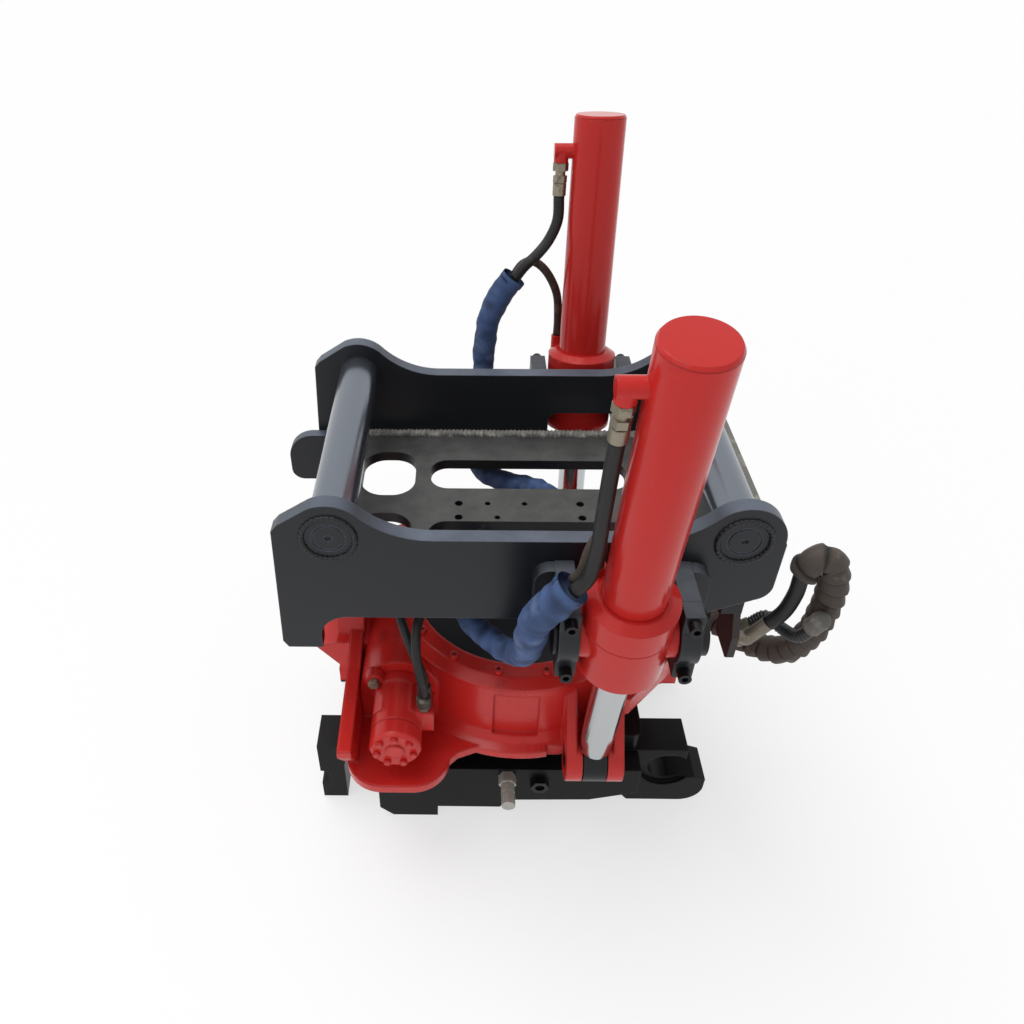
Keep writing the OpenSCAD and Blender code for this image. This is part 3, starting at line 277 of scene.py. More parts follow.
    def _add_bump(self, tree: bpy.types.NodeTree, place: bpy.types.NodeSocket,
                  rounded: bpy.types.NodeSocket | None, shader: bpy.types.Node) -> None:
        """Adds the grain of a cast or rolled surface, or the threads of a weave.

        Args:
            tree: Node tree of the material.
            place: Object coordinates.
            rounded: The rounded normal, if there is one.
            shader: Principled shader that gets the bump.
        """
        size_mm, strength = self.grain.value
        normal = {"Normal": rounded} if rounded else {}
        if self.weave_mm:
            unrolled = add_node(tree, "ShaderNodeTexCoord").outputs["UV"]
            scale = math.tau/(WAVE_TURNS*self.weave_mm*MM)
            warp, weft = (add_node(tree, "ShaderNodeTexWave", {"Vector": unrolled, "Scale": scale},
                                   bands_direction=way).outputs["Fac"] for way in ("X", "Y"))
            height = add_node(tree, "ShaderNodeMath", {0: warp, 1: weft}, operation="MULTIPLY").outputs[0]
            strength = WEAVE_STRENGTH
        elif strength:
            height = add_node(tree, "ShaderNodeTexNoise", {
                "Vector": place, "Scale": 1/(size_mm*MM), "Detail": GRAIN_DETAIL}).outputs["Fac"]
        else:
            if rounded:
                tree.links.new(rounded, shader.inputs["Normal"])
            return
        bump = add_node(tree, "ShaderNodeBump", {
            "Height": height, "Strength": strength, "Distance": BUMP_MM*MM, **normal})
        tree.links.new(bump.outputs["Normal"], shader.inputs["Normal"])


# Two-pack enamel sprayed on castings: a gloss that follows the sand-cast lumps and round edges
RED_CASTING = Finish("red enamel on castings", "#CC2B27", "#A52220", 0.3, 70, 0.26, 0.4, coat=0.06, grain=Grain.CAST,
                     specular=0.3, edge_mm=7.0)
# The same enamel on drawn tube: a smooth wet gloss
RED_TUBE = Finish("red enamel on tube", "#C42A26", "#B02321", 0.2, 120, 0.18, 0.26, coat=0.03, specular=0.2,
                  edge_mm=3.0)
# Satin black paint on rolled plate: a soft sheen, rubbed grey on the flame-cut edges, where the bluish grey is partly
# a painted highlight
BLACK_PLATE = Finish("satin black paint on plate", "#181B20", "#6C7686", 0.06, 140, 0.36, 0.5, grain=Grain.ROLLED,
                     dust=0.6, specular=0.35, edge_mm=2.5, edge_wear_and_sheen=0.8)
# The same paint on turned parts under the hoses: dark and clean
BLACK_CAP = Finish("satin black paint on caps", "#14161B", "#33363C", 0.1, 60, 0.4, 0.5, specular=0.3, edge_mm=2.0)
# Forged arms and caps in black paint gone grey
GREY_FORGING = Finish("greyed black paint on forgings", "#1B1E23", "#5E646C", 0.12, 50, 0.4, 0.6, grain=Grain.CAST,
                      dust=0.5, specular=0.35, edge_mm=3.0, edge_wear_and_sheen=0.5)
# Plate that was walked on: the paint is dull under grey dust
DUSTY_PLATE = Finish("dusty black paint on plate", "#1C1D1E", "#5F605E", 0.22, 45, 0.45, 0.75, grain=Grain.ROLLED,
                     dust=0.55, specular=0.35, edge_mm=2.0, edge_wear_and_sheen=0.6)
# Flame-cut coupler steel in black paint, scraped grey by tool pins
BLACK_COUPLER = Finish("scraped black paint on coupler", "#0B0C0E", "#3C3D3F", 0.12, 40, 0.36, 0.55,
                       grain=Grain.ROLLED, dust=0.12, specular=0.12, edge_mm=3.0, edge_wear_and_sheen=0.7)
# Steel pin, black oxide polished by use
PIN_STEEL = Finish("oxide black pin", "#757B84", "#8E949C", 0.12, 40, 0.22, 0.34, 0.85, edge_mm=1.5)
# Steel bar that is rubbed bright and gone grey
WORN_STEEL = Finish("rubbed grey steel", "#6E6C66", "#97948C", 0.4, 40, 0.4, 0.55, 0.7, edge_mm=1.5)
# Blackened screws: dark and oily
BLACK_SCREW = Finish("blackened screw steel", "#17171A", "#3A3A3C", 0.2, 12, 0.38, 0.5, 0.5, edge_mm=1.0)
# Machined steel: bright and a little dull
MACHINED = Finish("machined steel", "#9B9DA0", "#7A7C7E", 0.3, 40, 0.32, 0.45, 1.0)
# Hard chrome: a mirror along the rod
CHROME = Finish("hard chrome", "#B8BBBD", "#A6AAAD", 0.15, 80, 0.14, 0.22, 1.0)
# Zinc-plated fittings gone dull and brownish
ZINC = Finish("dulled zinc plate", "#8E8676", "#4E483E", 0.45, 18, 0.4, 0.6, 0.85, edge_mm=0.8)
# Zinc plate that the soil has browned
SOILED_ZINC = Finish("soiled zinc plate", "#7E766A", "#A8A194", 0.45, 14, 0.55, 0.75, 0.4, edge_mm=0.8)
# Turned steel coupling with a grey bloom
DULL_STEEL = Finish("dull turned steel", "#B2B0A9", "#7A776F", 0.35, 12, 0.38, 0.55, 0.4, edge_mm=0.8)
# Crimped hose shells, black phosphate worn to grey, with painted shade in their grooves
CRIMP_STEEL = Finish("phosphated crimp shell", "#4A4741", "#8E897E", 0.5, 9, 0.45, 0.65, 0.5, hollow_shade=0.4)
# Cloth tape round a conduit end, grey with dust, with painted shade in its grooves
TAPE = Finish("dusty cloth tape", "#6F6D68", "#8F8B83", 0.5, 16, 0.7, 0.9, hollow_shade=0.6)
# Plain bronze bushes
BRONZE = Finish("plain bronze", "#A07C43", "#7A5F35", 0.3, 25, 0.4, 0.55, 1.0)
# Bare bracket steel with a brown bloom of rust
RUSTY_STEEL = Finish("rusted bracket steel", "#2B2422", "#5A3C2C", 0.45, 22, 0.6, 0.85, grain=Grain.CAST, edge_mm=1.5)
# Smooth rubber hose with road dust
HOSE_RUBBER = Finish("dusty hose rubber", "#19191A", "#4A443E", 0.25, 40, 0.5, 0.8, specular=0.35)
# Older hose, brown with soil
SOILED_RUBBER = Finish("soiled hose rubber", "#3F3630", "#66594D", 0.4, 30, 0.7, 0.9, specular=0.3)
# Woven nylon sleeve: a dull blue that is paler where it is rubbed, with painted shade in its folds and mouth
SLEEVE = Finish("woven blue sleeve", "#465C88", "#667CA6", 0.5, 60, 0.75, 0.85, specular=0.3, hollow_shade=0.45,
                weave_mm=3.5)
# Plastic spiral wrap under dust and soil, with painted shade in the seams between turns
SPIRAL_WRAP = Finish("soiled spiral wrap", "#4A423D", "#756A60", 0.4, 30, 0.6, 0.85, specular=0.3, hollow_shade=0.1)
# Moulded black conduit, with painted shade between its ribs
CONDUIT = Finish("black conduit", "#26282B", "#55534F", 0.3, 22, 0.45, 0.7, hollow_shade=0.35)
# Weld metal under worn black paint: silvery spatter and ripples
WELD = Finish("worn weld bead", "#646462", "#B5B2AA", 0.6, 12, 0.45, 0.7, grain=Grain.SPATTER, dust=0.6)
# Weld metal that was painted over
PAINTED_WELD = Finish("painted weld bead", "#191B1E", "#3A3C40", 0.25, 16, 0.42, 0.55, grain=Grain.SPATTER,
                      specular=0.35)


def new_piece(name: str, mesh: bmesh.types.BMesh, finish: Finish, smooth: bool = True) -> bpy.types.Object:
    """Makes a finished object from a bmesh that lies in the row frame.

    Args:
        name: Name of the piece.
        mesh: Its shape, which is freed.
        finish: Its finish.
        smooth: Whether its faces are shaded smooth.

    Returns:
        The object, at the origin and unturned.
    """
    bmesh.ops.remove_doubles(mesh, verts=mesh.verts, dist=TINY)
    bmesh.ops.recalc_face_normals(mesh, faces=mesh.faces)
    mesh.verts.sort(key=lambda vert: vert.co.dot(ORDER))
    mesh.faces.sort(key=lambda face: face.calc_center_median().dot(ORDER))
    for face in mesh.faces:
        face.smooth = smooth
    data = bpy.data.meshes.new(name)
    mesh.to_mesh(data)
    mesh.free()
    data.materials.append(finish.material())
    piece = bpy.data.objects.new(name, data)
    bpy.context.collection.objects.link(piece)
    return piece


Swell = Callable[[float, float], tuple[float, float]]


def smooth_route(points: Sequence[Sequence[float]], step: float) -> list[Vector]:
    """Runs one smooth curve through a listed route.

    Args:
        points: Route points in millimetres.
        step: Distance between the points that come back, in millimetres.

    Returns:
        Points along the curve, in metres.
    """
    p = [Vector(q) for q in points]
    p = [2*p[0] - p[1], *p, 2*p[-1] - p[-2]]
    out: list[Vector] = []
    for a, b, c, d in zip(p, p[1:], p[2:], p[3:]):
        ta, tb, tc = (max((v - u).length, TINY)**0.5 for u, v in ((a, b), (b, c), (c, d)))
        m0 = (b - a)/ta - (c - a)/(ta + tb) + (c - b)/tb
        m1 = (c - b)/tb - (d - b)/(tb + tc) + (d - c)/tc
        n = max(2, round((c - b).length/step))
        for i in range(n):
            t = i/n
            out.append(((2*t**3 - 3*t**2 + 1)*b + (t**3 - 2*t**2 + t)*m0*tb
                        + (3*t**2 - 2*t**3)*c + (t**3 - t**2)*m1*tb)*MM)
    out.append(p[-2]*MM)
    return out


def plain(along: float, turn: float) -> tuple[float, float]:
    """Gives the radius factor and relief of a smooth tube."""
    return 1.0, 1.0


@dataclass
class Tube:
    """A hose, sleeve or wrap swept along a route.

    Attributes:
        name: Name of the piece.
        route: Route points in millimetres.
        radius: Outside radius in millimetres.
        finish: Finish of the tube.
        sides: Faces round the tube.
        step: Distance between rings in millimetres.
        swell: Radius factor and relief, 0 in a hollow and 1 on a crest, at a distance along and an angle
            round the tube.
        mouth: Depth of an open first end in millimetres.
    """

    name: str
    route: Sequence[Sequence[float]]
    radius: float
    finish: Finish
    sides: int = 20
    step: float = 6.0
    swell: Swell = plain
    mouth: float = 0.0

    def path(self) -> list[Vector]:
        """Gives the tube's centreline in metres."""
        return smooth_route(self.route, self.step)

    def build(self) -> bpy.types.Object:
        """Sweeps the tube: one circle that is extruded from ring to ring.

        Returns:
            The tube's object.
        """
        path = self.path()
        mesh = bmesh.new()
        relief = mesh.verts.layers.float.new(RELIEF)
        ring = bmesh.ops.create_circle(mesh, cap_ends=False, segments=self.sides, radius=1.0)["verts"]
        rings = []
        normal = (path[1] - path[0]).orthogonal().normalized()
        along = 0.0
        stations = []
        for i, at in enumerate(path):
            ahead = (path[min(i + 1, len(path) - 1)] - path[max(i - 1, 0)]).normalized()
            normal = (normal - ahead*normal.dot(ahead)).normalized()
            across = ahead.cross(normal)
            if i:
                along += (at - path[i - 1]).length/MM
                ring = grow_ring(mesh, ring)
            for k, vert in enumerate(ring):
                turn = k/self.sides
                swell, vert[relief] = self.swell(along, turn)
                r = self.radius*MM*swell
                vert.co = at + r*(math.cos(math.tau*turn)*normal + math.sin(math.tau*turn)*across)
            rings.append(ring)
            stations.append(along)
        self._unroll(mesh, rings, stations)
        mouth, _ = (mesh.faces.new(end) for end in (rings[0], rings[-1]))
        if self.mouth:
            bmesh.ops.inset_region(mesh, faces=[mouth], thickness=HEM_MM*MM)
            inner = bmesh.ops.extrude_discrete_faces(mesh, faces=[mouth])["faces"][0]
            bmesh.ops.translate(mesh, verts=inner.verts, vec=(path[1] - path[0]).normalized()*self.mouth*MM)
            # Painted shade: the inside of the mouth is darkest
            for vert in inner.verts:
                vert[relief] = 0.0
        return new_piece(self.name, mesh, self.finish)

    def _unroll(self, mesh: bmesh.types.BMesh, rings: Sequence[Sequence[bmesh.types.BMVert]],
                stations: Sequence[float]) -> None:
        """Lays a UV map in metres: round the tube and along it.

        Args:
            mesh: The tube's mesh, with no end faces yet.
            rings: Its rings of vertices.
            stations: Distance of each ring along the tube in millimetres.
        """
        layer = mesh.loops.layers.uv.new("UVMap")
        place = {vert: (k, along) for ring, along in zip(rings, stations) for k, vert in enumerate(ring)}
        for face in mesh.faces:
            last = max(place[loop.vert][0] for loop in face.loops)
            for loop in face.loops:
                k, along = place[loop.vert]
                k += self.sides if last == self.sides - 1 and k == 0 else 0
                loop[layer].uv = (math.tau*self.radius*k/self.sides*MM, along*MM)


def grow_ring(mesh: bmesh.types.BMesh, ring: Sequence[bmesh.types.BMVert]) -> list[bmesh.types.BMVert]:
    """Extrudes a closed ring.

    Args:
        mesh: The ring's mesh.
        ring: Its vertices, in order.

    Returns:
        The new ring's vertices, in the same order.
    """
    edges = [mesh.edges.get(pair) for pair in zip(ring, [*ring[1:], ring[0]])]
    grown = {g for g in bmesh.ops.extrude_edge_only(mesh, edges=edges)["geom"] if isinstance(g, bmesh.types.BMVert)}
    return [next(e.other_vert(v) for e in v.link_edges if e.other_vert(v) in grown) for v in ring]


def turned(name: str, profile: Sequence[Sequence[float]], at: Sequence[float], ahead: Sequence[float],
           finish: Finish) -> bpy.types.Object:
    """Turns a profile round an axis, as on a lathe.

    Args:
        name: Name of the piece.
        profile: Radius and distance along the axis of each corner in millimetres, from axis to axis.
        at: Start of the axis in millimetres.
        ahead: Direction of the axis.
        finish: Finish of the piece.

    Returns:
        The piece.
    """
    mesh = bmesh.new()
    relief = mesh.verts.layers.float.new(RELIEF)
    widest = max(r for r, _ in profile)
    corners = [mesh.verts.new((r*MM, 0, along*MM)) for r, along in profile]
    # Painted shade: a groove darkens with its depth
    for vert, (r, _) in zip(corners, profile):
        vert[relief] = max(0.0, 1 - (widest - r)/RELIEF_MM)
    edges = [mesh.edges.new(pair) for pair in zip(corners, corners[1:])]
    bmesh.ops.spin(mesh, geom=[*corners, *edges], cent=(0, 0, 0), axis=(0, 0, 1), angle=math.tau,
                   steps=LATHE_STEPS, use_merge=True)
    turn = Vector(ahead).to_track_quat("Z", "Y").to_matrix()
    bmesh.ops.rotate(mesh, verts=mesh.verts, cent=(0, 0, 0), matrix=turn)
    bmesh.ops.translate(mesh, verts=mesh.verts, vec=Vector(at)*MM)
    return new_piece(name, mesh, finish)


def wrinkled(size_mm: float, depth: float, seed: float, flare: float) -> Swell:
    """Makes the swell of a loose woven sleeve, pushed up in folds and wide at its mouth.

    Args:
        size_mm: Distance between wrinkles.
        depth: Share of the radius that they rise and fall.
        seed: Shifts the pattern.
        flare: Share of the radius that the mouth is wider.

    Returns:
        A swell for Tube.
    """
    def swell(along: float, turn: float) -> tuple[float, float]:
        """Radius factor and relief of the sleeve."""
        x, y = math.cos(math.tau*turn), math.sin(math.tau*turn)
        fold = noise.noise(Vector((along/size_mm + seed, x*FOLD_ROUND, y*FOLD_ROUND)))
        slack = noise.noise(Vector((along/(SLACK_LENGTH*size_mm) - seed, x*SLACK_ROUND, y*SLACK_ROUND)))
        wide = flare*max(0.0, 1.0 - along/FLARE_MM)
        # Painted shade in the folds, through the relief
        return 1.0 + wide + depth*(fold + SLACK_SHARE*slack), 0.5 + FOLD_SHADE*fold
    return swell


def wrapped(pitch_mm: float, depth: float) -> Swell:
    """Makes the swell of a strip wound round a bundle: each turn overlaps the last.

    Args:
        pitch_mm: Width of a turn.
        depth: Share of the radius that a turn's edge stands out.

    Returns:
        A swell for Tube.
    """
    def swell(along: float, turn: float) -> tuple[float, float]:
        """Radius factor and relief of the wrap."""
        part = (along/pitch_mm + turn) % 1.0
        rise = min(1.0, part/WRAP_RISE, (1.0 - part)/WRAP_FALL)
        x, y = LUMP_ROUND*math.cos(math.tau*turn), LUMP_ROUND*math.sin(math.tau*turn)
        lump = noise.noise(Vector((along/LUMP_MM, x, y)))
        # Painted shade in the seam between turns
        relief = (min(part, 1.0 - part) - SEAM_HALF)/SEAM_FADE
        return 1.0 - depth*(1.0 - rise) + LUMP_DEPTH*lump, max(0.0, min(1.0, relief))
    return swell


def ribbed(pitch_mm: float, depth: float) -> Swell:
    """Makes the swell of a corrugated conduit.

    Args:
        pitch_mm: Distance between ribs.
        depth: Share of the radius that they rise.

    Returns:
        A swell for Tube.
    """
    def swell(along: float, turn: float) -> tuple[float, float]:
        """Radius factor and relief of the conduit."""
        crest = 0.5 + 0.5*math.cos(math.tau*along/pitch_mm)
        # Painted shade: the relief is low between the ribs
        return 1.0 - depth*(1.0 - crest), crest
    return swell


def rippled(along: float, turn: float) -> tuple[float, float]:
    """Gives the radius factor and relief of a hand-laid weld bead."""
    wave = math.sin(math.tau*along/RIPPLE_MM)
    lump = noise.noise(Vector((along/BEAD_LUMP_MM, BEAD_LUMP_ROUND*turn, 0)))
    return 1.0 + RIPPLE_DEPTH*wave + BEAD_LUMP_DEPTH*lump, 0.5 + 0.5*wave


def paint_nodes(finish: Finish, names: Iterable[str]) -> None:
    """Gives CAD nodes a finish.

    Args:
        finish: The finish.
        names: The nodes.
    """
    for name in names:
        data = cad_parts[name].data
        data.materials.clear()
        data.materials.append(finish.material())
        LOG.info("painted %s: %s", name, finish.name)


def repaint_faces(name: str, finish: Finish, chosen: Callable[[Vector], bool]) -> None:
    """Gives some faces of a painted CAD node a second finish.

    Args:
        name: The node.
        finish: The second finish.
        chosen: Tells from a face's centre whether the face gets it.
    """
    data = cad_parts[name].data
    data.materials.append(finish.material())
    for face in data.polygons:
        face.material_index = int(chosen(face.center))
    LOG.info("repainted part of %s: %s", name, finish.name)


@dataclass
class Hitch:
    """The pin-on bracket: plates, pins and trunnion arms.

    Attributes:
        body: Body that carries it.
        bead_r: Radius of the web plate's weld beads.
        bead_inset: How far they lie in from the web plate's sides.
        bead_end: How far they stop short of its ends.
        pin_spacing: Distance between the pins.
        pin_weld_r: Radius of the ring of weld round a pin.
        pin_bead_r: Radius of that ring's bead.
        ring_points: Route points of the ring.
        pin_end: Length of a pin's end that is painted with the plate.
        finishes: Finish of each node.
    """

    body: str = "bracket"
    bead_r: float = 9.0
    bead_inset: float = 2.0
    bead_end: float = 6.0
    pin_spacing: float = 600.0
    pin_weld_r: float = 39.0
    pin_bead_r: float = 4.5
    ring_points: int = 24
    pin_end: float = 12.0
    finishes: dict[Finish, tuple[str, ...]] = field(default_factory=lambda: {
        BLACK_PLATE: ("side_plate_front", "side_plate_rear", "foot_gusset"),
        BLACK_CAP: ("tilt_lugs",),
        GREY_FORGING: ("trunnion_caps", "trunnion_arms"),
        DUSTY_PLATE: ("web_plate",),
        PIN_STEEL: ("machine_pins",),
        WORN_STEEL: ("pin_guard",),
        BLACK_SCREW: ("cap_bolts",),
        MACHINED: ("tilt_pins",),
        RUSTY_STEEL: ("loop_plate",),
        ZINC: ("hose_block",),
        SOILED_ZINC: ("loop_fittings",)})

    def dress(self) -> None:
        """Paints the plates and lays the weld beads."""
        for finish, names in self.finishes.items():
            paint_nodes(finish, names)
        self.blacken_pin_ends()
        low, high = (corner/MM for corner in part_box("web_plate"))
        ends = low.x + self.bead_end, 0, high.x - self.bead_end
        for name, y in (("weld_web_front", low.y + self.bead_inset), ("weld_web_rear", high.y - self.bead_inset)):
            self.weld(name, [(x, y, high.z) for x in ends], self.bead_r, WELD)
        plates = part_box("side_plate_front")[0].y/MM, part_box("side_plate_rear")[1].y/MM
        turns = [math.tau*i/self.ring_points for i in range(self.ring_points + 1)]
        for side, y in zip(("front", "rear"), plates):
            for end, x in (("foot", -self.pin_spacing/2), ("hook", self.pin_spacing/2)):
                ring = [(x + self.pin_weld_r*math.cos(a), y, self.pin_weld_r*math.sin(a)) for a in turns]
                self.weld(f"weld_pin_{end}_{side}", ring, self.pin_bead_r, PAINTED_WELD)

    def blacken_pin_ends(self) -> None:
        """Paints the ends of the machine pins with the plates that hold them."""
        reach = abs(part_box("side_plate_front")[0].y) - self.pin_end*MM
        repaint_faces("machine_pins", BLACK_PLATE, lambda at: abs(at.y) > reach)

    def weld(self, name: str, route: Sequence[Sequence[float]], radius: float, finish: Finish) -> None:
        """Lays a rippled weld bead along a corner.

        Args:
            name: Name of the bead.
            route: Points of the corner in millimetres.
            radius: Radius of the bead in millimetres.
            finish: Finish of the bead.
        """
        bead = Tube(name, route, radius, finish, sides=12, step=2.0, swell=rippled).build()
        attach(bead, self.body)
        LOG.info("laid %s", name)


class End(Enum):
    """Which tilt cylinder."""

    FRONT = "front"
    REAR = "rear"


@dataclass
class TiltCylinder:
    """One tilt cylinder with its rod.

    Attributes:
        end: Which one.
        eye_reach: Distance from the rod pin's axis within which the rod is its black eye.
    """

    end: End
    eye_reach: float = 46.0

    def dress(self) -> None:
        """Paints the barrel red, the rod chrome and its eye black."""
        where = self.end.value
        paint_nodes(RED_TUBE, (f"barrel_{where}", f"end_cap_{where}", f"collar_{where}"))
        paint_nodes(BLACK_SCREW, (f"trunnion_washers_{where}",))
        paint_nodes(ZINC, (f"port_fitting_{where}",))
        paint_nodes(CHROME, (f"rod_{where}",))
        paint_nodes(MACHINED, (f"piston_{where}",))
        paint_nodes(BRONZE, (f"rod_bush_{where}",))
        low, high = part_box(f"rod_bush_{where}")
        eye = (low + high)/2
        repaint_faces(f"rod_{where}", BLACK_SCREW,
                      lambda at: math.hypot(at.y - eye.y, at.z - eye.z) < self.eye_reach*MM)


@dataclass
class RotorHousing:
    """The cast housing with its worm motor.

    Attributes:
        bare_bolt: Place of the flange bolt that has no paint.
        bolt_reach: Distance from it that is still that bolt.
        finishes: Finish of each node.
    """

    bare_bolt: tuple[float, float, float] = (-258.0, -215.0, -368.0)
    bolt_reach: float = 24.0
    finishes: dict[Finish, tuple[str, ...]] = field(default_factory=lambda: {
        RED_CASTING: ("rotor_housing", "housing_cover", "housing_bolts", "worm_cap", "motor_body", "motor_end_cap"),
        BLACK_CAP: ("swivel_cap", "loop_clamp"),
        BRONZE: ("housing_bushes",),
        MACHINED: ("worm_bearings", "worm_shaft"),
        BLACK_SCREW: ("rod_pins",),
        SOILED_ZINC: ("motor_fittings",)})

    def dress(self) -> None:
        """Paints the housing and what it carries, and leaves one flange bolt bare."""
        for finish, names in self.finishes.items():
            paint_nodes(finish, names)
        bolt = Vector(self.bare_bolt)*MM
        repaint_faces("housing_bolts", ZINC, lambda at: (at - bolt).length < self.bolt_reach*MM)


@dataclass
class ToolCoupler:
    """The quick coupler under the rotor.

    Attributes:
        finishes: Finish of each node.
    """

    finishes: dict[Finish, tuple[str, ...]] = field(default_factory=lambda: {
        BLACK_COUPLER: ("turntable", "coupler_deck", "coupler_cheeks", "coupler_bars", "lock_housing",
                        "lock_cylinder"),
        MACHINED: ("ring_gear", "swivel_core", "lock_pins"),
        BLACK_SCREW: ("gear_bolts",),
        DULL_STEEL: ("hose_nipples",)})

    def dress(self) -> None:
        """Paints the coupler, and blackens the socket beside the nipple."""
        for finish, names in self.finishes.items():
            paint_nodes(finish, names)
        low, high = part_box("hose_nipples")
        repaint_faces("hose_nipples", BLACK_SCREW, lambda at: at.x > (low.x + high.x)/2)


@dataclass
class HoseRun:
    """A hose that is held at both ends.

    Attributes:
        tube: The hose.
        bodies: The body at its first point and the body at its last.
        node: The CAD node that it stands for, if any.
        slot: Name of a material slot; not used.
        stiffness: How stiff it is; not used.
    """

    tube: Tube
    bodies: tuple[str, str]
    node: str | None = None
    slot: str = "hose_rubber"
    stiffness: str = "stiff"

    def build(self) -> None:
        piece = self.tube.build()
        path = self.tube.path()
        first, last = self.bodies
        if first == last:
            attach(piece, first)
        else:
            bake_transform(piece)
        if self.node:
            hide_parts(self.node)
        LOG.info("laid %s", self.tube.name)


@dataclass
class HoseSet:
    """All hoses in millimetres, on the CAD model's routes, but for the conduit, which comes round in front.

    Attributes:
        hose_r: Radius of the cylinder hoses.
        gland_r: Radius of the gland and motor hoses.
        conduit_r: Radius of the loop's conduit.
        crimp_r: Radius of a crimp shell.
        crimp_l: Length of a crimp shell.
        crimp_lap: Length of it that is on the fitting.
        crimp_ribs: Ribs on it.
        crimp_collar: Length of its plain ends.
        rib_w: Width of a rib.
        groove: Depth of the groove before a rib.
        sleeve_r: Radius of the blue sleeves.
        sleeve_mouth: Depth of their open mouth.
        fold_pitch: Distance between their folds.
        fold_depth: Share of the radius that the folds rise and fall.
        loop_r: Radius of the wrapped loop.
        wrap_pitch: Width of a turn of the wrap.
        wrap_depth: Share of the radius that a turn's edge stands out.
        rib_pitch: Distance between the conduit's ribs.
        rib_depth: Share of the radius that they rise.
        loop_hose_r: Radius of the hose in the loop.
        tape_over: How far the conduit's tape stands out.
        tape_profile: The tape's depth below its outside, and distance along, from corner to corner.
        tape_tip: Where the tape ends.
    """

    hose_r: float = 10.0
    gland_r: float = 8.0
    conduit_r: float = 11.0
    crimp_r: float = 12.5
    crimp_l: float = 22.0
    crimp_lap: float = 20.0
    crimp_ribs: int = 3
    crimp_collar: float = 4.0
    rib_w: float = 4.0
    groove: float = 1.0
    sleeve_r: float = 20.0
    sleeve_mouth: float = 12.0
    fold_pitch: float = 15.0
    fold_depth: float = 0.13
    loop_r: float = 25.0
    wrap_pitch: float = 27.0
    wrap_depth: float = 0.2
    rib_pitch: float = 5.0
    rib_depth: float = 0.16
    loop_hose_r: float = 12.5
    tape_over: float = 5.0
    tape_profile: tuple[tuple[float, float], ...] = ((3, -24), (0, -18), (1, -8), (0, 2), (2, 10), (7, 16))
    tape_tip: float = 18.0

    def runs(self) -> list[HoseRun]:
        """Lists the hoses.

        Returns:
            Each hose with its bodies and the node that it stands for.
        """
        front, rear, bracket, housing = "barrel_front_body", "barrel_rear_body", "bracket", "housing"
        return [
            HoseRun(Tube("front_hose", [
                (65, -386.7, 275.2), (65, -379, 225.8), (65, -371, 150), (65, -364, 85), (58, -362, 34),
                (42, -362, 12)],
                self.hose_r, HOSE_RUBBER), (front, bracket), "front_hoses"),
            HoseRun(Tube("front_gland_hose", [
                (82, -304.6, 9), (82, -310, 44), (74, -322, 76), (62, -335, 64), (53, -341, 27), (42, -341, 12)],
                self.gland_r, SOILED_RUBBER), (front, bracket)),
            HoseRun(self.sleeve("front_sleeve_weave", [
                (41.7, -352, 11.6), (20, -352, -18), (0, -348, -50), (-6, -338, -95), (-8, -316, -150),
                (-18, -286, -198), (-50, -246, -221), (-92, -196, -215), (-102, -130, -202), (-70, -66, -184),
                (-70, -42.1, -184)],
                seed=0.0, flare=0.3), (bracket, bracket), "front_sleeve", "blue_sleeve", "medium"),
            HoseRun(Tube("rear_hose", [
                (65, 386.7, 275.2), (65, 379.9, 231.7), (50, 372, 196), (28, 360, 172), (8, 357, 153),
                (-10, 356, 128)],
                self.hose_r, HOSE_RUBBER), (rear, bracket), "rear_hoses"),
            HoseRun(Tube("rear_gland_hose", [
                (82, 383.6, -3.5), (82, 389, 30), (74, 386, 88), (46, 381, 138), (22, 378, 154), (5, 376, 149),
                (-10, 375, 128)],
                self.gland_r, SOILED_RUBBER), (rear, bracket)),
            HoseRun(self.sleeve("rear_sleeve_weave", [
                (-10.6, 366, 127.2), (-30, 365, 100), (-50, 361, 60), (-64, 352, -5), (-66, 332, -80),
                (-74, 296, -150), (-80, 252, -200), (-62, 198, -210), (-20, 152, -200), (36, 118, -190),
                (70, 64, -184), (70, 42.1, -184)],
                seed=40.0, flare=0.2), (bracket, bracket), "rear_sleeve", "blue_sleeve", "medium"),
            HoseRun(Tube("motor_hose_outer", [
                (-169, -253.1, -347.9), (-169, -253.1, -329.9), (-180, -236, -262), (-178, -200, -225),
                (-152, -140, -200), (-135, -70, -190), (-122, -18, -184), (-100.1, -18, -184)],
                self.gland_r, HOSE_RUBBER), (housing, bracket), "motor_hoses"),
            HoseRun(Tube("motor_hose_inner", [
                (-169, -229.1, -347.9), (-169, -229.1, -329.9), (-194, -206, -264), (-212, -164, -228),
                (-216, -92, -205), (-196, -26, -192), (-126, 22, -184), (-100.1, 22, -184)],
                self.gland_r, HOSE_RUBBER), (housing, bracket)),
            HoseRun(Tube("loop_hose", [
                (397.7, -196, -221.2), (415.7, -196, -197.2), (424, -199, -150), (424, -200, -104), (432, -200, -80),
                (456, -199, -76)],
                self.loop_hose_r, HOSE_RUBBER), (bracket, bracket)),
            HoseRun(Tube("loop_wrap", [
                (424, -200, -104), (432, -200, -80), (456, -199, -76), (476, -197, -116), (482, -194, -190),
                (476, -184, -265), (454, -158, -330), (416, -104, -366), (370, -40, -380), (328.1, -40, -380)],
                self.loop_r, SPIRAL_WRAP, sides=36, step=1.5, swell=wrapped(self.wrap_pitch, self.wrap_depth)),
                (bracket, housing), "loop_hoses"),
            HoseRun(Tube("loop_conduit", [
                (384.9, -160, -260.4), (408.9, -160, -242.4), (428, -188, -242), (442, -220, -226),
                (462, -227, -184)],
                self.conduit_r, CONDUIT, step=1.2, swell=ribbed(self.rib_pitch, self.rib_depth)), (bracket, bracket)),
        ]

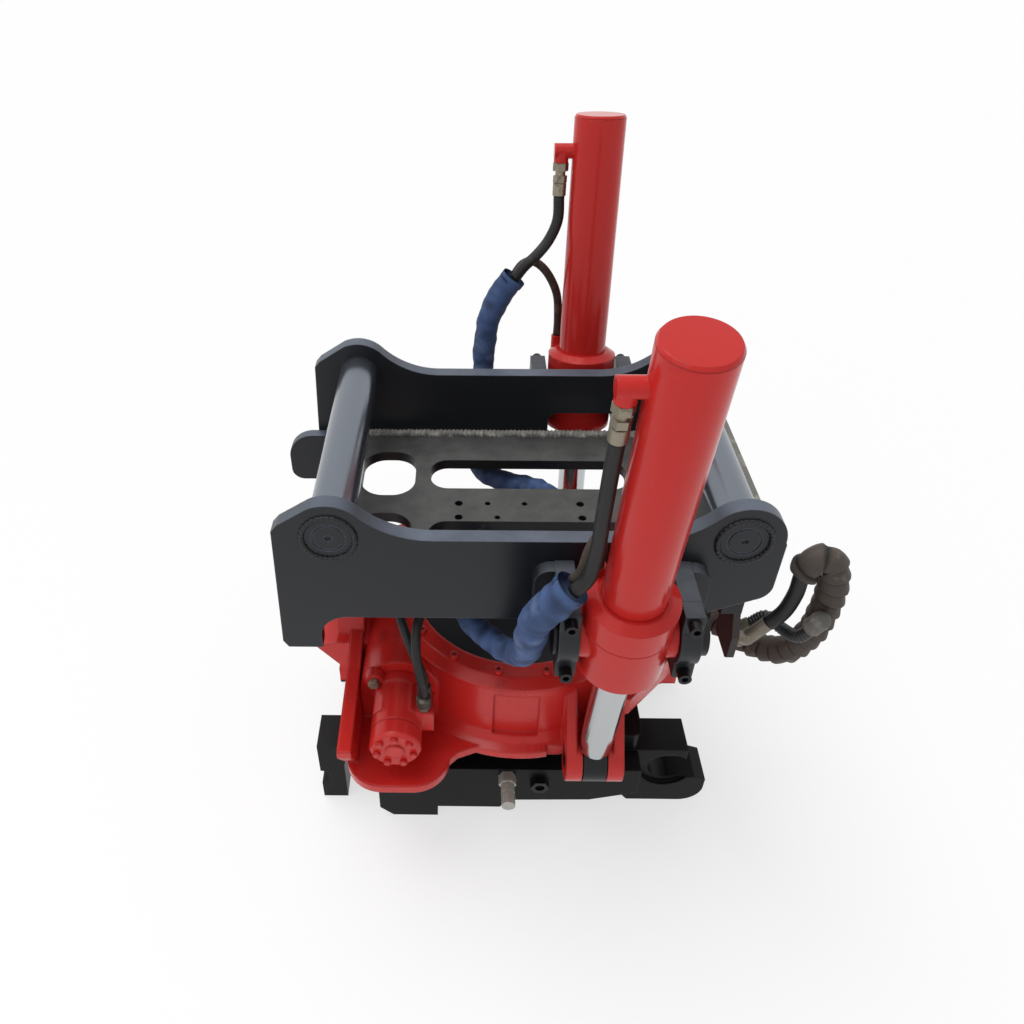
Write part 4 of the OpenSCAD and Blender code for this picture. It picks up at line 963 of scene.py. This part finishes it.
    def sleeve(self, name: str, route: Sequence[Sequence[float]], seed: float, flare: float) -> Tube:
        """Lays out a loose woven sleeve with an open mouth.

        Args:
            name: Name of the sleeve.
            route: Its route in millimetres.
            seed: Shifts its wrinkles.
            flare: Share of the radius that its mouth is wider.

        Returns:
            The sleeve's tube.
        """
        folds = wrinkled(self.fold_pitch, self.fold_depth, seed, flare)
        return Tube(name, route, self.sleeve_r, SLEEVE, sides=36, step=3.0, swell=folds, mouth=self.sleeve_mouth)

    def build(self) -> None:
        """Lays every hose, crimps the motor's two and tapes the conduit's end."""
        for run in self.runs():
            run.build()
            if run.tube.name.startswith("motor_hose"):
                self.crimp(run)
            elif run.tube.name == "loop_conduit":
                self.tape(run)

    def crimp(self, run: HoseRun) -> None:
        """Crimps a ribbed shell on a hose's first end.

        Args:
            run: The hose.
        """
        start, after = (Vector(p) for p in run.tube.route[:2])
        ahead = (after - start).normalized()
        ribs = []
        for i in range(self.crimp_ribs):
            low = self.crimp_collar + i*(self.crimp_l - 2*self.crimp_collar)/self.crimp_ribs
            ribs += [(self.crimp_r - self.groove, low), (self.crimp_r, low + self.groove),
                     (self.crimp_r, low + self.rib_w)]
        profile = [(0, 0), (self.crimp_r, 0), (self.crimp_r, self.crimp_collar - self.groove), *ribs,
                   (self.crimp_r - 2*self.groove, self.crimp_l), (0, self.crimp_l)]
        shell = turned(f"{run.tube.name}_crimp", profile, start - self.crimp_lap*ahead, ahead, CRIMP_STEEL)
        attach(shell, run.bodies[0])
        LOG.info("crimped %s", run.tube.name)

    def tape(self, run: HoseRun) -> None:
        """Binds the last end of the conduit to the loop with tape.

        Args:
            run: The conduit.
        """
        before, end = (Vector(p) for p in run.tube.route[-2:])
        ahead = (end - before).normalized()
        r = self.conduit_r + self.tape_over
        skin = [(r - depth, along) for depth, along in self.tape_profile]
        cap = turned("conduit_tape", [(0, skin[0][1]), *skin, (0, self.tape_tip)], end, ahead, TAPE)
        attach(cap, run.bodies[1])
        LOG.info("taped %s", run.tube.name)


@dataclass
class Studio:
    """Plain white studio with the photograph's camera.

    Attributes:
        camera_at: Place of the camera in millimetres.
        pitch_deg: How far it looks down.
        yaw_deg: How far it is turned.
        focal_px: Focal length in pixels.
        image_px: Width of the photograph.
        optical_axis_px: Pixel that the optical axis meets.
        sensor_mm: Width of the sensor.
        overhead: Strength of the overhead light.
        overhead_towards: Direction of its rays.
        surround: Strength of the world's light on the object.
        floor_lift: Share of plain white in the floor for the rays that are seen.
        floor_half: Half the floor's width in metres.
        floor_colour: Colour of the floor.
        floor_roughness: Roughness of the floor.
        overhead_angle_deg: How wide the overhead light looks.
        softbox_at: Place of the front softbox in metres.
        softbox_size: Its width in metres.
        softbox_watts: Its power.
        softbox_aim: Where it looks.
        near_clip: Nearest distance that the camera sees, in metres.
    """

    camera_at: tuple[float, float, float] = (-108.22, -1171.31, 817.66)
    pitch_deg: float = 38.95
    yaw_deg: float = -0.7
    focal_px: float = 855.89
    image_px: int = 1024
    optical_axis_px: tuple[float, float] = (452.89, 502.21)
    sensor_mm: float = 36.0
    overhead: float = 1.9
    overhead_towards: tuple[float, float, float] = (0.28, -0.16, -0.95)
    surround: float = 0.42
    floor_lift: float = 0.66
    floor_half: float = 40.0
    floor_colour: str = "#FAFAFA"
    floor_roughness: float = 0.8
    overhead_angle_deg: float = 45.0
    softbox_at: tuple[float, float, float] = (-1.2, -1.5, 1.3)
    softbox_size: float = 1.4
    softbox_watts: float = 5.0
    softbox_aim: tuple[float, float, float] = (0, 0, -0.2)
    near_clip: float = 0.01

    def build(self) -> None:
        """Sets the floor, lights, world and camera."""
        bpy.context.scene.view_settings.view_transform = "Standard"
        self.floor()
        self.world()
        self.sun()
        self.softbox()
        self.camera()

    def floor(self) -> None:
        """Lays the pale floor under the object."""
        mesh = bmesh.new()
        bmesh.ops.create_grid(mesh, x_segments=1, y_segments=1, size=self.floor_half)
        bmesh.ops.translate(mesh, verts=mesh.verts, vec=(0, 0, CAD_BOX[0][2]))
        data = bpy.data.meshes.new("floor")
        mesh.to_mesh(data)
        mesh.free()
        # Matt white paper, lifted towards white for the rays that are seen, with a soft shadow left in it
        made = bpy.data.materials.new("pale studio floor")
        made.use_nodes = True
        tree = made.node_tree
        shader = tree.nodes["Principled BSDF"]
        shader.inputs["Base Color"].default_value = linear(self.floor_colour)
        shader.inputs["Roughness"].default_value = self.floor_roughness
        seen = add_node(tree, "ShaderNodeMath", {
            0: self.seen_rays(tree), 1: self.floor_lift}, operation="MULTIPLY").outputs[0]
        white = add_node(tree, "ShaderNodeEmission", {"Strength": 1.0}).outputs[0]
        lifted = add_node(tree, "ShaderNodeMixShader", {0: seen, 1: shader.outputs[0], 2: white})
        tree.links.new(lifted.outputs[0], tree.nodes["Material Output"].inputs["Surface"])
        data.materials.append(made)
        piece = bpy.data.objects.new("floor", data)
        bpy.context.collection.objects.link(piece)

    def seen_rays(self, tree: bpy.types.NodeTree) -> bpy.types.NodeSocket:
        """Tells the rays of the camera, of gloss and of glass from those that light the object.

        Args:
            tree: Node tree that asks.

        Returns:
            A socket that is 1 for the rays that are seen.
        """
        rays = add_node(tree, "ShaderNodeLightPath")
        seen = rays.outputs["Is Camera Ray"]
        for ray in ("Is Glossy Ray", "Is Transmission Ray"):
            seen = add_node(tree, "ShaderNodeMath", {0: seen, 1: rays.outputs[ray]}, operation="MAXIMUM").outputs[0]
        return seen

    def world(self) -> None:
        """Makes an even pale surround."""
        world = bpy.data.worlds.new("studio")
        bpy.context.scene.world = world
        world.use_nodes = True
        tree = world.node_tree
        background = tree.nodes["Background"]
        background.inputs["Color"].default_value = (1, 1, 1, 1)
        strength = add_node(tree, "ShaderNodeMapRange", {
            "Value": self.seen_rays(tree), "To Min": self.surround, "To Max": 1.0})
        tree.links.new(strength.outputs["Result"], background.inputs["Strength"])

    def sun(self) -> None:
        """Hangs a wide soft light above and behind the object, which whitens the floor evenly."""
        light = bpy.data.lights.new("overhead_softbox", "SUN")
        light.energy = self.overhead
        light.angle = math.radians(self.overhead_angle_deg)
        lamp = bpy.data.objects.new("overhead_softbox", light)
        lamp.rotation_euler = Vector(self.overhead_towards).to_track_quat("-Z", "Y").to_euler()
        bpy.context.collection.objects.link(lamp)

    def softbox(self) -> None:
        """Hangs a weak square lamp in front, which looks at the object."""
        light = bpy.data.lights.new("front_softbox", "AREA")
        light.size = self.softbox_size
        light.energy = self.softbox_watts
        lamp = bpy.data.objects.new("front_softbox", light)
        lamp.location = self.softbox_at
        towards = Vector(self.softbox_aim) - Vector(self.softbox_at)
        lamp.rotation_euler = towards.to_track_quat("-Z", "Y").to_euler()
        bpy.context.collection.objects.link(lamp)

    def camera(self) -> None:
        """Places the camera where the photograph was taken from."""
        data = bpy.data.cameras.new("photo_camera")
        data.sensor_width = self.sensor_mm
        data.lens = self.focal_px*self.sensor_mm/self.image_px
        middle = self.image_px/2
        data.shift_x = (middle - self.optical_axis_px[0])/self.image_px
        data.shift_y = (self.optical_axis_px[1] - middle)/self.image_px
        data.clip_start = self.near_clip
        camera = bpy.data.objects.new("photo_camera", data)
        camera.location = Vector(self.camera_at)*MM
        camera.rotation_euler = (math.radians(90 - self.pitch_deg), 0, -math.radians(self.yaw_deg))
        bpy.context.collection.objects.link(camera)
        bpy.context.scene.camera = camera


def main() -> None:
    """Builds the sub-assemblies in order, then the studio."""
    logging.basicConfig(level=logging.INFO)
    Hitch().dress()
    for end in End:
        TiltCylinder(end).dress()
    RotorHousing().dress()
    ToolCoupler().dress()
    HoseSet().build()
    Studio().build()


if __name__ == "__main__":
    main()
